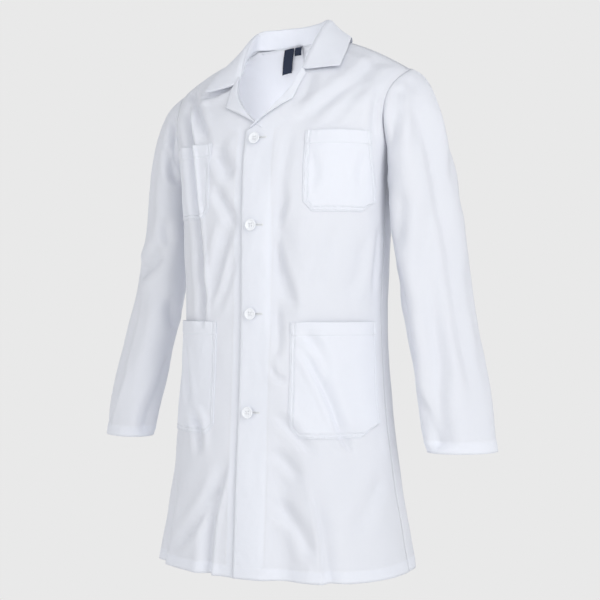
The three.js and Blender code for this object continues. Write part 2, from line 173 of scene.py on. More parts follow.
class Side:
    """The half of the body in front of the side seams, or the half behind them.

    Sign is its direction along Y, depth its column in section_at, power the squareness of its
    section, and armhole_dip how far the armhole cuts into it at mid height, in s.
    """

    def __init__(self, sign, depth, power, armhole_dip):
        self.sign = sign
        self.depth = depth
        self.power = power
        self.armhole_dip = armhole_dip


FRONT = Side(-1, 1, 2.4, 0.136)
BACK = Side(1, 2, 2.9, 0.218)


def smoothstep(x, low, high):
    """0 below low, 1 above high, and a smooth rise between them."""
    t = np.clip((np.asarray(x, float) - low) / (high - low), 0, 1)
    return t * t * (3 - 2 * t)


def bell(distance, width):
    """1 at no distance, dying out smoothly over a few widths."""
    return np.exp(-(distance / width) ** 2)


def unit(v):
    return v / np.maximum(np.linalg.norm(v, axis=-1, keepdims=True), 1e-9)


# ---------- the smooth body, before any fold ----------
# s runs over a half body from the wearer's right side seam (-1) through the centre (0) to the
# left side seam (1), by angle, at one height.


def body_point(side, s, z):
    """The point of the smooth body at s and height z."""
    s, z = np.broadcast_arrays(np.asarray(s, float), np.asarray(z, float))
    section = section_at(z)
    half_width = section[..., 0]
    half_depth = section[..., side.depth] - side.sign * SIDE_Y
    angle = (1 - s) * np.pi / 2
    across = np.abs(np.cos(angle) / half_width) ** side.power
    along = np.abs(np.sin(angle) / half_depth) ** side.power
    reach = (across + along) ** (-1 / side.power)
    x = reach * np.cos(angle)
    open_y = SIDE_Y + side.sign * reach * np.sin(angle)
    below = np.clip((ridge_at(np.abs(x))[..., 0] - z) / RIDGE_ROUND, 0, 1)
    fullness = np.sqrt(1 - (1 - below) ** 2)
    y = RIDGE_Y + (open_y - RIDGE_Y) * fullness
    return np.stack([x, y + SHIFT_Y, z], -1)


def s_at(side, x, z):
    """The s of a point at distance x from the centre plane."""
    x, z = np.broadcast_arrays(np.asarray(x, float), np.asarray(z, float))
    section = section_at(z)
    half_depth = section[..., side.depth] - side.sign * SIDE_Y
    share = np.minimum(np.abs(x) / section[..., 0], 1) ** side.power
    depth = half_depth * (1 - share) ** (1 / side.power)
    return 1 - np.arctan2(depth, x) / (np.pi / 2)


def body_normal(side, s, z):
    """The direction out of the smooth body, from two short steps on it."""
    ds, dz = 2e-3, 0.5
    across = body_point(side, s + ds, z) - body_point(side, s - ds, z)
    up = body_point(side, s, z) - body_point(side, s, z - dz)
    return unit(np.cross(across, up) * -side.sign)


def armhole_s(side, z):
    """The s of the armhole's edge at a height; below the underarm, of the side seam."""
    rise = np.clip((np.asarray(z, float) - UNDERARM_Z) / (TIP_Z - UNDERARM_Z), 0, 1)
    return 1 - side.armhole_dip * np.sin(np.pi * rise) ** 0.6


FACING_EDGE = FACING_WIDTH - OVERLAP


def stand_off(hand, x):
    """How far a front stands off the body: the left one lies over the right one beside its edge."""
    return 2 * LAYER * (1 - smoothstep(x, FACING_EDGE + 2, 78)) if hand > 0 else 0 * x


def spot_on_front(hand, x, z, lift):
    """A point on the left (hand 1) or right (hand -1) front, x from the centre, and its normal."""
    s = hand * s_at(FRONT, x, z)
    lift = lift + stand_off(hand, x)
    return on_body(FRONT, s, z, lift), layer_normal(FRONT, s, z, lift)


# ---------- folds ----------


def distances(points):
    """Distance of each point from the first, along the line."""
    steps = np.linalg.norm(np.diff(points, axis=0), axis=1)
    return np.concatenate([[0], np.cumsum(steps)])


def read_along(distance, along, values):
    """Values at distances along a line whose points lie at the distances `along`."""
    return np.stack([np.interp(distance, along, column) for column in values.T], -1)


def resample(points, count):
    """Points evenly spaced along a smooth curve through the given ones."""
    last = len(points) - 1
    dense = smooth_table(np.column_stack([np.arange(len(points)), points]))(np.linspace(0, last, 200))
    along = distances(dense)
    return read_along(np.linspace(0, along[-1], count), along, dense)


class Fold:
    """A valley along a line of (percent across, height) points on one face of the coat.

    Lean moves the line towards one side of its hollow, so that side falls away more steeply. Fade is
    the share of the length over which each end dies out.
    """

    def __init__(self, points, depth, width, lean=0.0, fade=(0.3, 0.3)):
        self.points = [(across / 100, height) for across, height in points]
        self.depth = depth
        self.width = width
        self.lean = lean
        self.fade = fade


FOLD_GAIN = 1.5                     # scales the depth of every fold
SHOULDER = 0.3                      # height of the soft shoulders beside a valley, of its depth
FOLD_STEPS = 18
FOLD_REACH = 6                      # widths beyond which a fold adds nothing


def nearest_on_line(points, normals, line):
    """Distance to the line, share of its length there, and the side of it: 1 or -1."""
    near = np.full(len(points), 1e9)
    place = np.zeros(len(points))
    hand = np.ones(len(points))
    count = len(line) - 1
    for i in range(count):
        a, ab = line[i], line[i + 1] - line[i]
        offset = points - a
        t = np.clip(offset @ ab / max(ab @ ab, 1e-9), 0, 1)
        distance = np.linalg.norm(offset - t[:, None] * ab, axis=1)
        closer = distance < near
        near[closer] = distance[closer]
        place[closer] = (i + t[closer]) / count
        hand[closer] = np.sign(np.sum(np.cross(ab, offset[closer]) * normals[closer], axis=1))
    return near, place, hand


def fold_height(points, normals, stops, fold):
    """Height that a valley adds at each point: below its line, and a little above beside it."""
    line = resample(stops, FOLD_STEPS)
    everywhere = points.reshape(-1, 3)
    reach = FOLD_REACH * fold.width
    inside = (everywhere > line.min(0) - reach) & (everywhere < line.max(0) + reach)
    inside = inside.all(axis=1)
    near, place, hand = nearest_on_line(everywhere[inside], normals.reshape(-1, 3)[inside], line)
    start, end = fold.fade
    start = smoothstep(place, 0, start) if start else 1
    end = 1 - smoothstep(place, 1 - end, 1) if end else 1
    r = near / (fold.width * (1 + fold.lean * hand))
    profile = SHOULDER * bell(r - 2, 1) - bell(r, 1)
    height = np.zeros(len(everywhere))
    height[inside] = FOLD_GAIN * fold.depth * start * end * profile
    return height.reshape(points.shape[:-1])


def ripple(points, seed, wavelength, squeeze=(1, 1, 0.35), waves=7):
    """A sum of seeded sine waves, longer along Z than across."""
    rng = np.random.default_rng(seed)
    total = np.zeros(points.shape[:-1])
    for _ in range(waves):
        direction = unit(rng.normal(size=3)) * np.array(squeeze)
        length = wavelength * rng.uniform(0.7, 1.5)
        total += np.sin(points @ direction * (2 * np.pi / length) + rng.uniform(0, 2 * np.pi))
    return total / math.sqrt(waves)


# height, seed, wavelength and squeeze of the cloth's unevenness
BODY_RIPPLES = ((0.9, 11, 110, (1, 1, 0.35)), (0.35, 12, 42, (1, 1, 0.6)))
SLEEVE_RIPPLES = ((0.9, 21, 95, (1, 1, 0.35)), (0.4, 24, 38, (1, 1, 0.7)), (0.12, 27, 15, (1, 1, 0.8)))
FINE_RIPPLES = ((0.12, 13, 15, (1, 1, 0.8)),)


def ripples(points, rows, shift=0):
    """Several ripples together; shift moves their seeds, so that the two sleeves differ."""
    return sum(height * ripple(points, seed + shift, *rest) for height, seed, *rest in rows)


# Folds of the fronts. Negative percents are on the wearer's right.
FRONT_FOLDS = [
    # pulled from the left shoulder down towards the top button
    Fold([(86, 868), (76, 820), (60, 785), (42, 752), (26, 728)], 4.5, 12, 0.2, (0.15, 0.35)),
    Fold([(80, 815), (70, 780), (60, 750), (50, 728)], 3.0, 9),
    Fold([(85, 808), (82, 780), (81, 745), (81, 712)], 3.5, 7),
    Fold([(76, 890), (84, 868), (90, 846)], 4.0, 16, 0.0, (0.1, 0.1)),
    Fold([(54, 838), (46, 805), (38, 772)], 2.6, 10),
    # beside the left front's facing, from the chest to the waist
    Fold([(31, 745), (26, 680), (22, 615), (17, 575)], 2.4, 9, 0.0, (0.3, 0.2)),
    Fold([(29, 632), (22, 592), (16, 562)], 2.4, 7),
    Fold([(16, 562), (21, 515), (28, 475), (35, 425)], 4.5, 11, -0.3, (0.2, 0.3)),
    Fold([(16, 455), (21, 385), (17, 345)], 3.0, 8),
    Fold([(16, 352), (20, 328), (30, 320)], 3.0, 5),
    # across the left hip pocket
    Fold([(36, 408), (44, 385), (52, 350), (56, 315)], 4.0, 9, 0.2),
    Fold([(36, 384), (45, 340), (53, 295), (59, 250), (67, 205)], 5.5, 9, 0.3, (0.25, 0.2)),
    # below it, falling from the bottom button
    Fold([(16, 268), (27, 250), (38, 220), (46, 195)], 4.0, 8, 0.2),
    Fold([(16, 214), (28, 186), (38, 158)], 3.0, 9),
    Fold([(17, 134), (27, 110), (36, 80), (42, 35)], 5.0, 11, 0.0, (0.3, 0.2)),
    Fold([(41, 175), (46, 110), (48, 55), (50, -12)], 6.0, 11, 0.55, (0.45, 0.0)),
    Fold([(88, 172), (76, 125), (62, 72)], 3.0, 14),
    Fold([(56, 240), (62, 222), (68, 204)], 3.4, 5),
    # the left chest pocket and the cloth below it
    Fold([(43, 702), (46, 660), (42, 622)], 2.0, 8),
    Fold([(77, 702), (73, 655), (76, 618)], 1.6, 7),
    Fold([(61, 588), (55, 535), (46, 462)], 2.4, 12),
    Fold([(78, 560), (74, 500), (66, 450)], 2.0, 12),
    Fold([(93, 585), (90, 520), (88, 450)], 2.8, 9),
    # the hollows that the stiffer button band leaves beside it
    Fold([(19, 672), (20, 560), (20, 450), (19, 345)], 7.0, 20),
    Fold([(22, 262), (23, 150), (24, -12)], 8.0, 30, 0.0, (0.4, 0.0)),
    # small draws in the button band
    Fold([(8, 706), (5, 655), (2, 606)], 1.3, 6),
    Fold([(12, 690), (10, 640), (12, 600)], 1.0, 5),
    Fold([(11, 560), (5, 520), (9, 470)], 1.3, 7),
    Fold([(3, 545), (1, 500), (4, 452)], 1.1, 6),
    Fold([(12, 410), (6, 370), (10, 322)], 1.4, 7),
    Fold([(2, 400), (0, 350), (3, 300)], 1.1, 6),
    Fold([(12, 240), (5, 180), (9, 110)], 1.6, 8),
    # the hollow below the right half of the collar
    Fold([(-49, 832), (-59, 827), (-72, 819)], 8.0, 8, 0.0, (0.3, 0.3)),
    # the right front: two folds from the shoulder that join into a deep one down to the hip
    Fold([(-84, 840), (-69, 800), (-56, 765), (-43, 724)], 6.0, 8, 0.0, (0.1, 0.3)),
    Fold([(-80, 822), (-66, 768), (-57, 710), (-52, 655), (-48, 585), (-45, 520), (-43, 450), (-43, 395)],
         9.5, 8, -0.45, (0.12, 0.12)),
    Fold([(-40, 724), (-30, 688), (-19, 652)], 6.5, 11, 0.2),
    Fold([(-36, 658), (-27, 620), (-18, 590), (-10, 564)], 4.5, 9),
    Fold([(-16, 604), (-24, 560), (-30, 510), (-40, 432)], 5.0, 11),
    Fold([(-12, 548), (-22, 480), (-33, 422)], 3.0, 8),
    Fold([(-53, 264), (-43, 240), (-40, 186)], 6.0, 9),
    Fold([(-66, 386), (-58, 320), (-52, 262)], 4.0, 9),
    Fold([(-15, 200), (-21, 135), (-25, 75), (-26, -12)], 7.5, 9, -0.4, (0.4, 0.0)),
    Fold([(-22, 152), (-36, 88), (-54, 32)], 5.0, 10),
    Fold([(-95, 330), (-90, 250), (-86, 160)], 6.0, 20),
    Fold([(-96, 640), (-92, 560), (-90, 480)], 3.0, 14),
    Fold([(-62, 180), (-66, 90), (-68, -10)], 5.0, 14, 0.0, (0.5, 0.0)),
]

# Folds of the back, which hangs from the shoulder blades and flutes towards the hem.
BACK_FOLDS = [
    Fold([(84, 820), (64, 760), (44, 700), (30, 650)], 4.0, 14),
    Fold([(-82, 815), (-62, 752), (-46, 690), (-28, 640)], 4.5, 14),
    Fold([(86, 760), (80, 690), (78, 600)], 5.0, 12),
    Fold([(-86, 770), (-81, 690), (-76, 610)], 5.0, 12),
    Fold([(30, 620), (40, 540), (36, 470)], 3.5, 16),
    Fold([(-24, 600), (-36, 530), (-30, 450)], 3.5, 16),
    Fold([(70, 560), (58, 520), (52, 460)], 3.0, 12),
    Fold([(-72, 560), (-60, 510), (-56, 440)], 3.0, 12),
    Fold([(22, 330), (25, 180), (28, -12)], 7.0, 15, 0.2, (0.6, 0.0)),
    Fold([(52, 380), (57, 200), (60, -12)], 7.5, 16, -0.2, (0.6, 0.0)),
    Fold([(80, 300), (80, 140), (80, -12)], 3.0, 22, 0.0, (0.6, 0.0)),
    Fold([(-26, 350), (-30, 190), (-34, -12)], 7.5, 16, -0.2, (0.6, 0.0)),
    Fold([(-56, 330), (-60, 180), (-64, -12)], 7.0, 15, 0.2, (0.6, 0.0)),
    Fold([(-81, 280), (-81, 130), (-81, -12)], 3.0, 22, 0.0, (0.6, 0.0)),
]

# Folds of the sleeves: percent of a turn from the outer edge round by the front, and height. Above
# the biceps line the height counts hundredths of the way up the sleeve head.
SLEEVE_FOLDS = {
    1: [
        Fold([(10, 722), (8, 690), (4, 659), (1, 605), (-2, 540), (-4, 455), (-4, 385), (-5, 335),
              (-6, 250)], 5.5, 17, 0.3, (0.12, 0.2)),
        Fold([(14, 748), (20, 725), (26, 704), (30, 690)], 4.5, 11, 0.0, (0.1, 0.3)),
        Fold([(8, 750), (12, 715), (13, 680), (13, 640)], 3.0, 12, 0.0, (0.1, 0.4)),
        Fold([(18, 725), (16, 690), (16, 600)], -4.0, 16, 0.0, (0.2, 0.4)),
        Fold([(20, 640), (21, 590), (24, 530)], 4.0, 13),
        Fold([(4, 660), (8, 540), (9, 460), (12, 390)], 3.5, 18, 0.2, (0.3, 0.4)),
        Fold([(4, 500), (6, 400), (8, 340), (11, 290), (12, 245), (13, 210)], 6.0, 15, 0.0, (0.3, 0.05)),
        Fold([(31, 545), (27, 480), (24, 435), (24, 380), (24, 300)], 6.0, 16),
        Fold([(17, 460), (18, 380), (20, 290)], -3.0, 16),
        Fold([(20, 300), (17, 255), (16, 210)], 3.0, 8, 0.0, (0.3, 0.1)),
        Fold([(25, 320), (22, 270), (21, 220)], 3.0, 8),
        Fold([(86, 560), (84, 470), (83, 370), (87, 270)], 4.0, 16),
        Fold([(92, 735), (90, 690), (94, 620)], 3.0, 13),
        Fold([(50, 560), (46, 510), (38, 470)], 6.0, 13),
        Fold([(62, 540), (56, 490), (48, 450)], 5.0, 13),
        Fold([(70, 690), (66, 620), (70, 540)], 4.0, 16),
        Fold([(56, 380), (52, 300), (55, 225)], 4.0, 14),
        Fold([(36, 700), (42, 670), (52, 660)], 5.0, 11),
    ],
    -1: [
        Fold([(20, 752), (25, 745), (31, 736), (34, 705)], 5.5, 8, 0.0, (0.1, 0.3)),
        Fold([(22, 722), (28, 692), (33, 668)], 5.5, 8, 0.0, (0.2, 0.3)),
        Fold([(14, 752), (20, 742), (27, 728)], 3.5, 8),
        Fold([(-4, 500), (4, 512), (12, 526), (19, 545), (25, 560)], 9.0, 15, 0.0, (0.2, 0.4)),
        Fold([(22, 610), (21, 575), (25, 545)], 4.0, 10),
        Fold([(1, 478), (0, 415), (0, 340), (-2, 275), (-4, 215)], 5.0, 13, 0.3, (0.3, 0.1)),
        Fold([(22, 460), (29, 420), (40, 384)], 5.0, 11),
        Fold([(35, 370), (33, 300), (28, 255), (26, 208)], 5.0, 12, 0.0, (0.3, 0.1)),
        Fold([(3, 345), (2, 295), (-1, 245)], 3.5, 8),
        Fold([(14, 480), (15, 400), (14, 300)], -3.5, 20),
        Fold([(12, 700), (10, 640), (8, 580)], 3.5, 16),
        Fold([(50, 560), (46, 510), (38, 470)], 6.0, 13),
        Fold([(64, 545), (58, 490), (50, 450)], 5.0, 13),
        Fold([(72, 690), (68, 620), (72, 540)], 4.0, 16),
        Fold([(58, 380), (54, 300), (57, 225)], 4.0, 14),
    ],
}

SEAM_CALM = 0.05                    # share of the half width over which folds die out at an edge
ARMHOLE_CALM, RIDGE_CALM = 60, 25   # heights over which they do at the underarm and the shoulder
BAND_X, BAND_ENDS = 4, (16, 45)     # middle of the stiff button band, and where it gives way beside it
BAND_SHARE = 0.35                   # of a fold's depth that is left in the button band


def body_folds(side, s, z):
    """Height of the folds and of the cloth's slight unevenness, shared by every layer there."""
    base = body_point(side, s, z)
    away = body_normal(side, s, z)
    across = np.abs(s)
    to_armhole = armhole_s(side, z) - across
    by_armhole = smoothstep(z, UNDERARM_Z - ARMHOLE_CALM, UNDERARM_Z)
    armhole = 1 - by_armhole * (1 - smoothstep(to_armhole, 0, SEAM_CALM))
    ridge = smoothstep(ridge_at(np.abs(base[..., 0]))[..., 0] - z, 0, RIDGE_CALM)
    off_band = smoothstep(np.abs(base[..., 0] - BAND_X), *BAND_ENDS) if side is FRONT else 1
    calm = BAND_SHARE + (1 - BAND_SHARE) * off_band
    uneven = ripples(base, BODY_RIPPLES) * calm + ripples(base, FINE_RIPPLES)
    folded = np.zeros(base.shape[:-1])
    for fold in FRONT_FOLDS if side is FRONT else BACK_FOLDS:
        stops = [body_point(side, a, b) for a, b in fold.points]
        folded = folded + fold_height(base, away, stops, fold)
    side_seam = smoothstep(1 - across, 0, 2 * SEAM_CALM)
    return (uneven + folded * side_seam * calm) * armhole * ridge


class FoldField:
    """The folds of one face of the coat, worked out once on a grid and read between its points."""

    ACROSS = np.linspace(-1, 1, 281)
    UP = np.linspace(0, 948, 317)       # up to just above the collar

    def __init__(self, side):
        self.heights = body_folds(side, self.ACROSS[None, :], self.UP[:, None])

    def read(self, s, z):
        column = np.clip((s + 1) / 2, 0, 1) * (len(self.ACROSS) - 1)
        row = np.clip(z / self.UP[-1], 0, 1) * (len(self.UP) - 1)
        j = np.minimum(column.astype(int), len(self.ACROSS) - 2)
        i = np.minimum(row.astype(int), len(self.UP) - 2)
        u, v = column - j, row - i
        below = self.heights[i, j] * (1 - u) + self.heights[i, j + 1] * u
        above = self.heights[i + 1, j] * (1 - u) + self.heights[i + 1, j + 1] * u
        return below * (1 - v) + above * v


FOLD_FIELDS = {side: FoldField(side) for side in (FRONT, BACK)}


def on_body(side, s, z, lift):
    """Points of a cloth layer that lies `lift` off the body, with the body's folds in it."""
    s, z = np.broadcast_arrays(np.asarray(s, float), np.asarray(z, float))
    height = lift + FOLD_FIELDS[side].read(s, z)
    away = body_normal(side, s, z)
    level = np.where(z <= 0, 0.0, 1.0)
    away = away * np.stack([np.ones_like(z), np.ones_like(z), level], -1)
    return body_point(side, s, z) + away * height[..., None]


def layer_normal(side, s, z, lift):
    """The direction off a cloth layer, folds included."""
    ds, dz = 3e-3, 1.0
    across = on_body(side, s + ds, z, lift) - on_body(side, s - ds, z, lift)
    up = on_body(side, s, z + dz, lift) - on_body(side, s, z - dz, lift)
    return unit(np.cross(across, up) * -side.sign)


# ---------- meshes ----------


DROOP = 15                          # the coat hangs lower by this much at its right shoulder
DROOP_X, DROOP_Z = 110, (430, 800)  # how far out it is full, and the heights over which it grows


def droop(points):
    """The right shoulder sits lower than the left one, and the cloth below it takes that up."""
    out = smoothstep(-points[..., 0], 0, DROOP_X)
    up = smoothstep(points[..., 2], *DROOP_Z)
    return points - (DROOP * out * up)[..., None] * np.array([0, 0, 1.0])


def new_object(name, verts, faces, material=None):
    """A smooth-shaded mesh object from vertices in millimetres."""
    mesh = bpy.data.meshes.new(name)
    mesh.from_pydata((droop(np.asarray(verts, float)) * MM).tolist(), [], faces)
    mesh.validate()
    mesh.update()
    if material:
        mesh.materials.append(material)
    obj = bpy.data.objects.new(name, mesh)
    bpy.context.scene.collection.objects.link(obj)
    mesh.polygons.foreach_set("use_smooth", [True] * len(mesh.polygons))
    return obj


def joined(name, parts, material):
    """One object from (vertices, faces) parts."""
    verts, faces, start = [], [], 0
    for more_verts, more_faces in parts:
        verts.append(more_verts)
        faces += [[int(corner) + start for corner in face] for face in more_faces]
        start += len(more_verts)
    return new_object(name, np.concatenate(verts), faces, material)


def grid_faces(rows, columns, start, wrap, turn):
    """Quads of a grid of vertices; turn reverses their winding."""
    i = np.arange(rows - 1)[:, None]
    j = np.arange(columns if wrap else columns - 1)[None, :]
    k = (j + 1) % columns
    quad = np.stack([
        start + i * columns + j,
        start + i * columns + k,
        start + (i + 1) * columns + k,
        start + (i + 1) * columns + j,
    ], -1).reshape(-1, 4)
    return quad[:, ::-1] if turn else quad


def rim_faces(ring, offset, turn):
    """Quads that join a line of outer vertices to the inner ones `offset` further on."""
    ring = np.asarray(ring)
    quad = np.stack([ring[:-1], ring[1:], ring[1:] + offset, ring[:-1] + offset], -1)
    return quad if turn else quad[:, ::-1]


def outward_normals(outer, wrap, hint):
    """Normals that point away from the hint, and whether the grid's own ones point towards it."""
    if wrap:
        across = np.roll(outer, -1, 1) - np.roll(outer, 1, 1)
    else:
        across = np.gradient(outer, axis=1)
    normals = unit(np.cross(across, np.gradient(outer, axis=0)))
    turned = np.sum(normals * (outer - hint) * np.array([1, 1, 0.2])) < 0
    return (-normals if turned else normals), turned


def shell_faces(rows, columns, wrap, turned, open_end):
    """Faces of both sides of a sheet, then those of its rims."""
    size = rows * columns
    index = np.arange(size).reshape(rows, columns)
    faces = [
        grid_faces(rows, columns, 0, wrap, turned),
        grid_faces(rows, columns, size, wrap, not turned),
    ]
    bottom, top = index[0], index[-1]
    if wrap:
        bottom, top = np.append(bottom, bottom[0]), np.append(top, top[0])
    if open_end != "first":
        faces.append(rim_faces(bottom, size, turned))
    if open_end != "last":
        faces.append(rim_faces(top, size, not turned))
    if not wrap:
        faces.append(rim_faces(index[:, 0], size, not turned))
        faces.append(rim_faces(index[:, -1], size, turned))
    return np.concatenate(faces).tolist()


AXIS = np.array([0, CENTRE_Y, 0])   # the coat's upright axis, which its cloth faces away from


def shell(name, outer, thickness, material, wrap=False, hint=AXIS, whiter=0.0, open_end=None):
    """A closed sheet of cloth whose outer face is a grid of points, rows by columns by 3.

    It faces away from the hint. An open end, "first" or "last", is a cut where the next piece of
    the same tube goes on.
    """
    rows, columns = outer.shape[:2]
    normals, turned = outward_normals(outer, wrap, hint)
    inner = outer - normals * np.broadcast_to(thickness, (rows, columns))[..., None]
    if not wrap:
        inner[..., 2] = np.where(outer[..., 2] <= 0, outer[..., 2], inner[..., 2])
    verts = np.concatenate([outer.reshape(-1, 3), inner.reshape(-1, 3)])
    obj = new_object(name, verts, shell_faces(rows, columns, wrap, turned, open_end), material)
    add_cloth_coordinates(obj, outer)
    add_whiter(obj, whiter, (rows, columns))
    mark_rims(obj, 2 * (rows - 1) * (columns if wrap else columns - 1))
    return obj


def add_cloth_coordinates(obj, outer):
    """A UV map in metres along the cloth, which the weave follows."""
    u_steps = np.linalg.norm(np.diff(outer, axis=1), axis=2).mean(0)
    v_steps = np.linalg.norm(np.diff(outer, axis=0), axis=2).mean(1)
    u = np.concatenate([[0], np.cumsum(u_steps)])
    v = np.concatenate([[0], np.cumsum(v_steps)])
    grid = np.stack(np.broadcast_arrays(u[None, :], v[:, None]), -1).reshape(-1, 2) * MM
    both = np.concatenate([grid, grid])
    loops = np.zeros(len(obj.data.loops), int)
    obj.data.loops.foreach_get("vertex_index", loops)
    layer = obj.data.uv_layers.new(name="cloth")
    layer.data.foreach_set("uv", both[loops].ravel())


def add_whiter(obj, whiter, shape):
    """Where the cloth lies double it looks whiter; the material reads this attribute."""
    values = np.tile(np.broadcast_to(whiter, shape).ravel(), 2)
    attribute = obj.data.attributes.new("whiter", "FLOAT", "POINT")
    attribute.data.foreach_set("value", values.astype(np.float32))


def mark_rims(obj, count):
    """Cut edges stay crisp: only the first `count` faces, the two sides of the cloth, are smooth."""
    flags = [polygon.index < count for polygon in obj.data.polygons]
    obj.data.polygons.foreach_set("use_smooth", flags)


# ---------- materials ----------


class Nodes:
    """A new material's node tree, with the few kinds of node that the cloth and the buttons need."""

    def __init__(self, name):
        self.material = bpy.data.materials.new(name)
        self.material.use_nodes = True
        self.nodes = self.material.node_tree.nodes
        self.nodes.clear()

    def add(self, kind, **inputs):
        """A node whose inputs, named with _ for spaces, are values or other nodes' outputs."""
        node = self.nodes.new(kind)
        for name, value in inputs.items():
            self.plug(node.inputs[name.replace("_", " ")], value)
        return node

    def plug(self, socket, value):
        if isinstance(value, bpy.types.NodeSocket):
            self.material.node_tree.links.new(value, socket)
        elif isinstance(value, tuple):
            socket.default_value = (*value, 1)
        else:
            socket.default_value = value

    def math(self, operation, *values):
        node = self.nodes.new("ShaderNodeMath")
        node.operation = operation
        for socket, value in zip(node.inputs, values):
            self.plug(socket, value)
        return node.outputs[0]

    def mix(self, factor, first, second, blend="MIX"):
        """Two colours mixed; 6 and 7 are the colour sockets of Blender's mix node."""
        node = self.nodes.new("ShaderNodeMix")
        node.data_type = "RGBA"
        node.blend_type = blend
        for index, value in ((0, factor), (6, first), (7, second)):
            self.plug(node.inputs[index], value)
        return node.outputs[2]

    def place(self):
        return self.nodes.new("ShaderNodeTexCoord").outputs["Object"]

    def noise(self, scale, detail, place):
        return self.add("ShaderNodeTexNoise", Scale=scale, Detail=detail, Vector=place).outputs["Fac"]

    def bump(self, height, strength, distance, **before):
        node = self.add("ShaderNodeBump", Height=height, Strength=strength, Distance=distance, **before)
        return node.outputs[0]

    def finish(self, shader):
        self.add("ShaderNodeOutputMaterial", Surface=shader)
        return self.material


def weave_height(tree, pitch):
    """A plain weave: threads cross over and under at the given pitch, in metres."""
    uv = tree.nodes.new("ShaderNodeUVMap")
    uv.uv_map = "cloth"
    split = tree.add("ShaderNodeSeparateXYZ", Vector=uv.outputs[0])
    turn = 2 * math.pi / pitch
    waves = [tree.math("SINE", tree.math("MULTIPLY", split.outputs[k], turn)) for k in (0, 1)]
    return tree.math("MULTIPLY", *waves)


def cloth_colour(tree, place, whiter, single, double):
    """The cloth's colour, whiter where it lies double, with faint patches and slubs."""
    patch = tree.noise(9, 4, place)
    slub = tree.math("MULTIPLY", tree.noise(420, 2, place), 0.25)
    base = tree.mix(whiter, single, double)
    shade = tree.mix(tree.math("ADD", patch, slub), (0.965, 0.97, 0.98), (1.0, 1.0, 1.0))
    return tree.mix(1, base, shade, "MULTIPLY")


OPAQUE_DOUBLE = 0.45                # share of the light through the cloth that a second layer stops


def cloth_material(name, single, double, through=0.12, pitch=0.0006):
    """Matt woven cloth: weave and fine crumples in the bump, a little light through it."""
    tree = Nodes(name)
    place = tree.place()
    attribute = tree.nodes.new("ShaderNodeAttribute")
    attribute.attribute_name = "whiter"
    whiter = attribute.outputs["Fac"]
    colour = cloth_colour(tree, place, whiter, single, double)
    fine = tree.bump(weave_height(tree, pitch), 0.5, 0.00006)
    soft = tree.bump(tree.noise(95, 4, place), 0.45, 0.0011, Normal=fine)
    surface = tree.add(
        "ShaderNodeBsdfPrincipled", Base_Color=colour, Normal=soft, Roughness=0.85, Sheen_Weight=0.05,
        Sheen_Roughness=0.5, Specular_IOR_Level=0.25)
    glow = tree.add("ShaderNodeBsdfTranslucent", Color=colour, Normal=soft)
    thin = tree.math("SUBTRACT", 1.0, tree.math("MULTIPLY", whiter, OPAQUE_DOUBLE))
    mixed = tree.nodes.new("ShaderNodeMixShader")
    shaders = (tree.math("MULTIPLY", thin, through), surface.outputs[0], glow.outputs[0])
    for socket, value in zip(mixed.inputs, shaders):
        tree.plug(socket, value)
    return tree.finish(mixed.outputs[0])


def plain_material(name, colour, roughness, scale, strength, sheen=0.0, coat=0.0):
    """Thread, plastic and the slits' painted shade: one base colour varied by noise, with a fine bump."""
    tree = Nodes(name)
    grain = tree.noise(scale, 3, tree.place())
    dim = tuple(0.93 * part for part in colour)
    surface = tree.add(
        "ShaderNodeBsdfPrincipled", Base_Color=tree.mix(grain, dim, colour),
        Normal=tree.bump(grain, strength, 0.0001), Roughness=roughness, Sheen_Weight=sheen,
        Coat_Weight=coat, Coat_Roughness=0.2)
    return tree.finish(surface.outputs[0])


WHITE = cloth_material("white_cloth", (0.835, 0.85, 0.90), (0.838, 0.858, 0.917))
NAVY = cloth_material("navy_label", (0.022, 0.03, 0.055), (0.03, 0.04, 0.07), 0.02, 0.0005)
THREAD = plain_material("sewing_thread", (0.86, 0.87, 0.89), 0.6, 2600, 0.4, sheen=0.3)
PLASTIC = plain_material("button_plastic", (0.87, 0.89, 0.93), 0.3, 60, 0.05, coat=0.3)
# painted shade: a grey colour that stands for the shadowed gap inside each buttonhole slit
SHADOW = plain_material("slit_edge", (0.6, 0.62, 0.66), 0.9, 900, 0.3)

# ---------- stitching ----------


STITCH_LENGTH, STITCH_GAP, STITCH_RADIUS = 2.9, 0.8, 0.26
# along a stitch: share of its length, height of its middle and thickness there, in radii
STITCH_SHAPE = ((0, -0.3, 0.6), (0.5, 0.55, 1), (1, -0.3, 0.6))


def stitch_row(points, normals):
    """Short arched threads along a line of points; returns vertices and faces."""
    along = distances(points)
    count = int(along[-1] // (STITCH_LENGTH + STITCH_GAP))
    starts = (np.arange(count) + 0.5) * along[-1] / max(count, 1) - STITCH_LENGTH / 2
    away = unit(read_along(starts + STITCH_LENGTH / 2, along, normals))
    ends = [read_along(starts + STITCH_LENGTH * share, along, points) for share in (0, 1)]
    beside = unit(np.cross(unit(ends[1] - ends[0]), away))
    corners = []
    for share, rise, size in STITCH_SHAPE:
        centre = read_along(starts + STITCH_LENGTH * share, along, points) + away * STITCH_RADIUS * rise
        corners += [centre + side * STITCH_RADIUS * size for side in (away, beside, -away, -beside)]
    verts = np.stack(corners, 1).reshape(-1, 3)
    quads = np.concatenate([grid_faces(3, 4, 0, True, False), [[3, 2, 1, 0], [8, 9, 10, 11]]])
    return verts, (quads[None] + np.arange(count)[:, None, None] * 12).reshape(-1, 4)


def stitching(name, rows):
    return joined(name, [stitch_row(points, normals) for points, normals in rows], THREAD)


STITCH_LIFT = 0.12                  # of the middle of a stitch off the cloth


def seam_on_body(side, s, z, lift):
    """A line on a layer of the body, with the direction off the layer."""
    return on_body(side, s, z, lift), layer_normal(side, s, z, lift)


# ---------- panels ----------


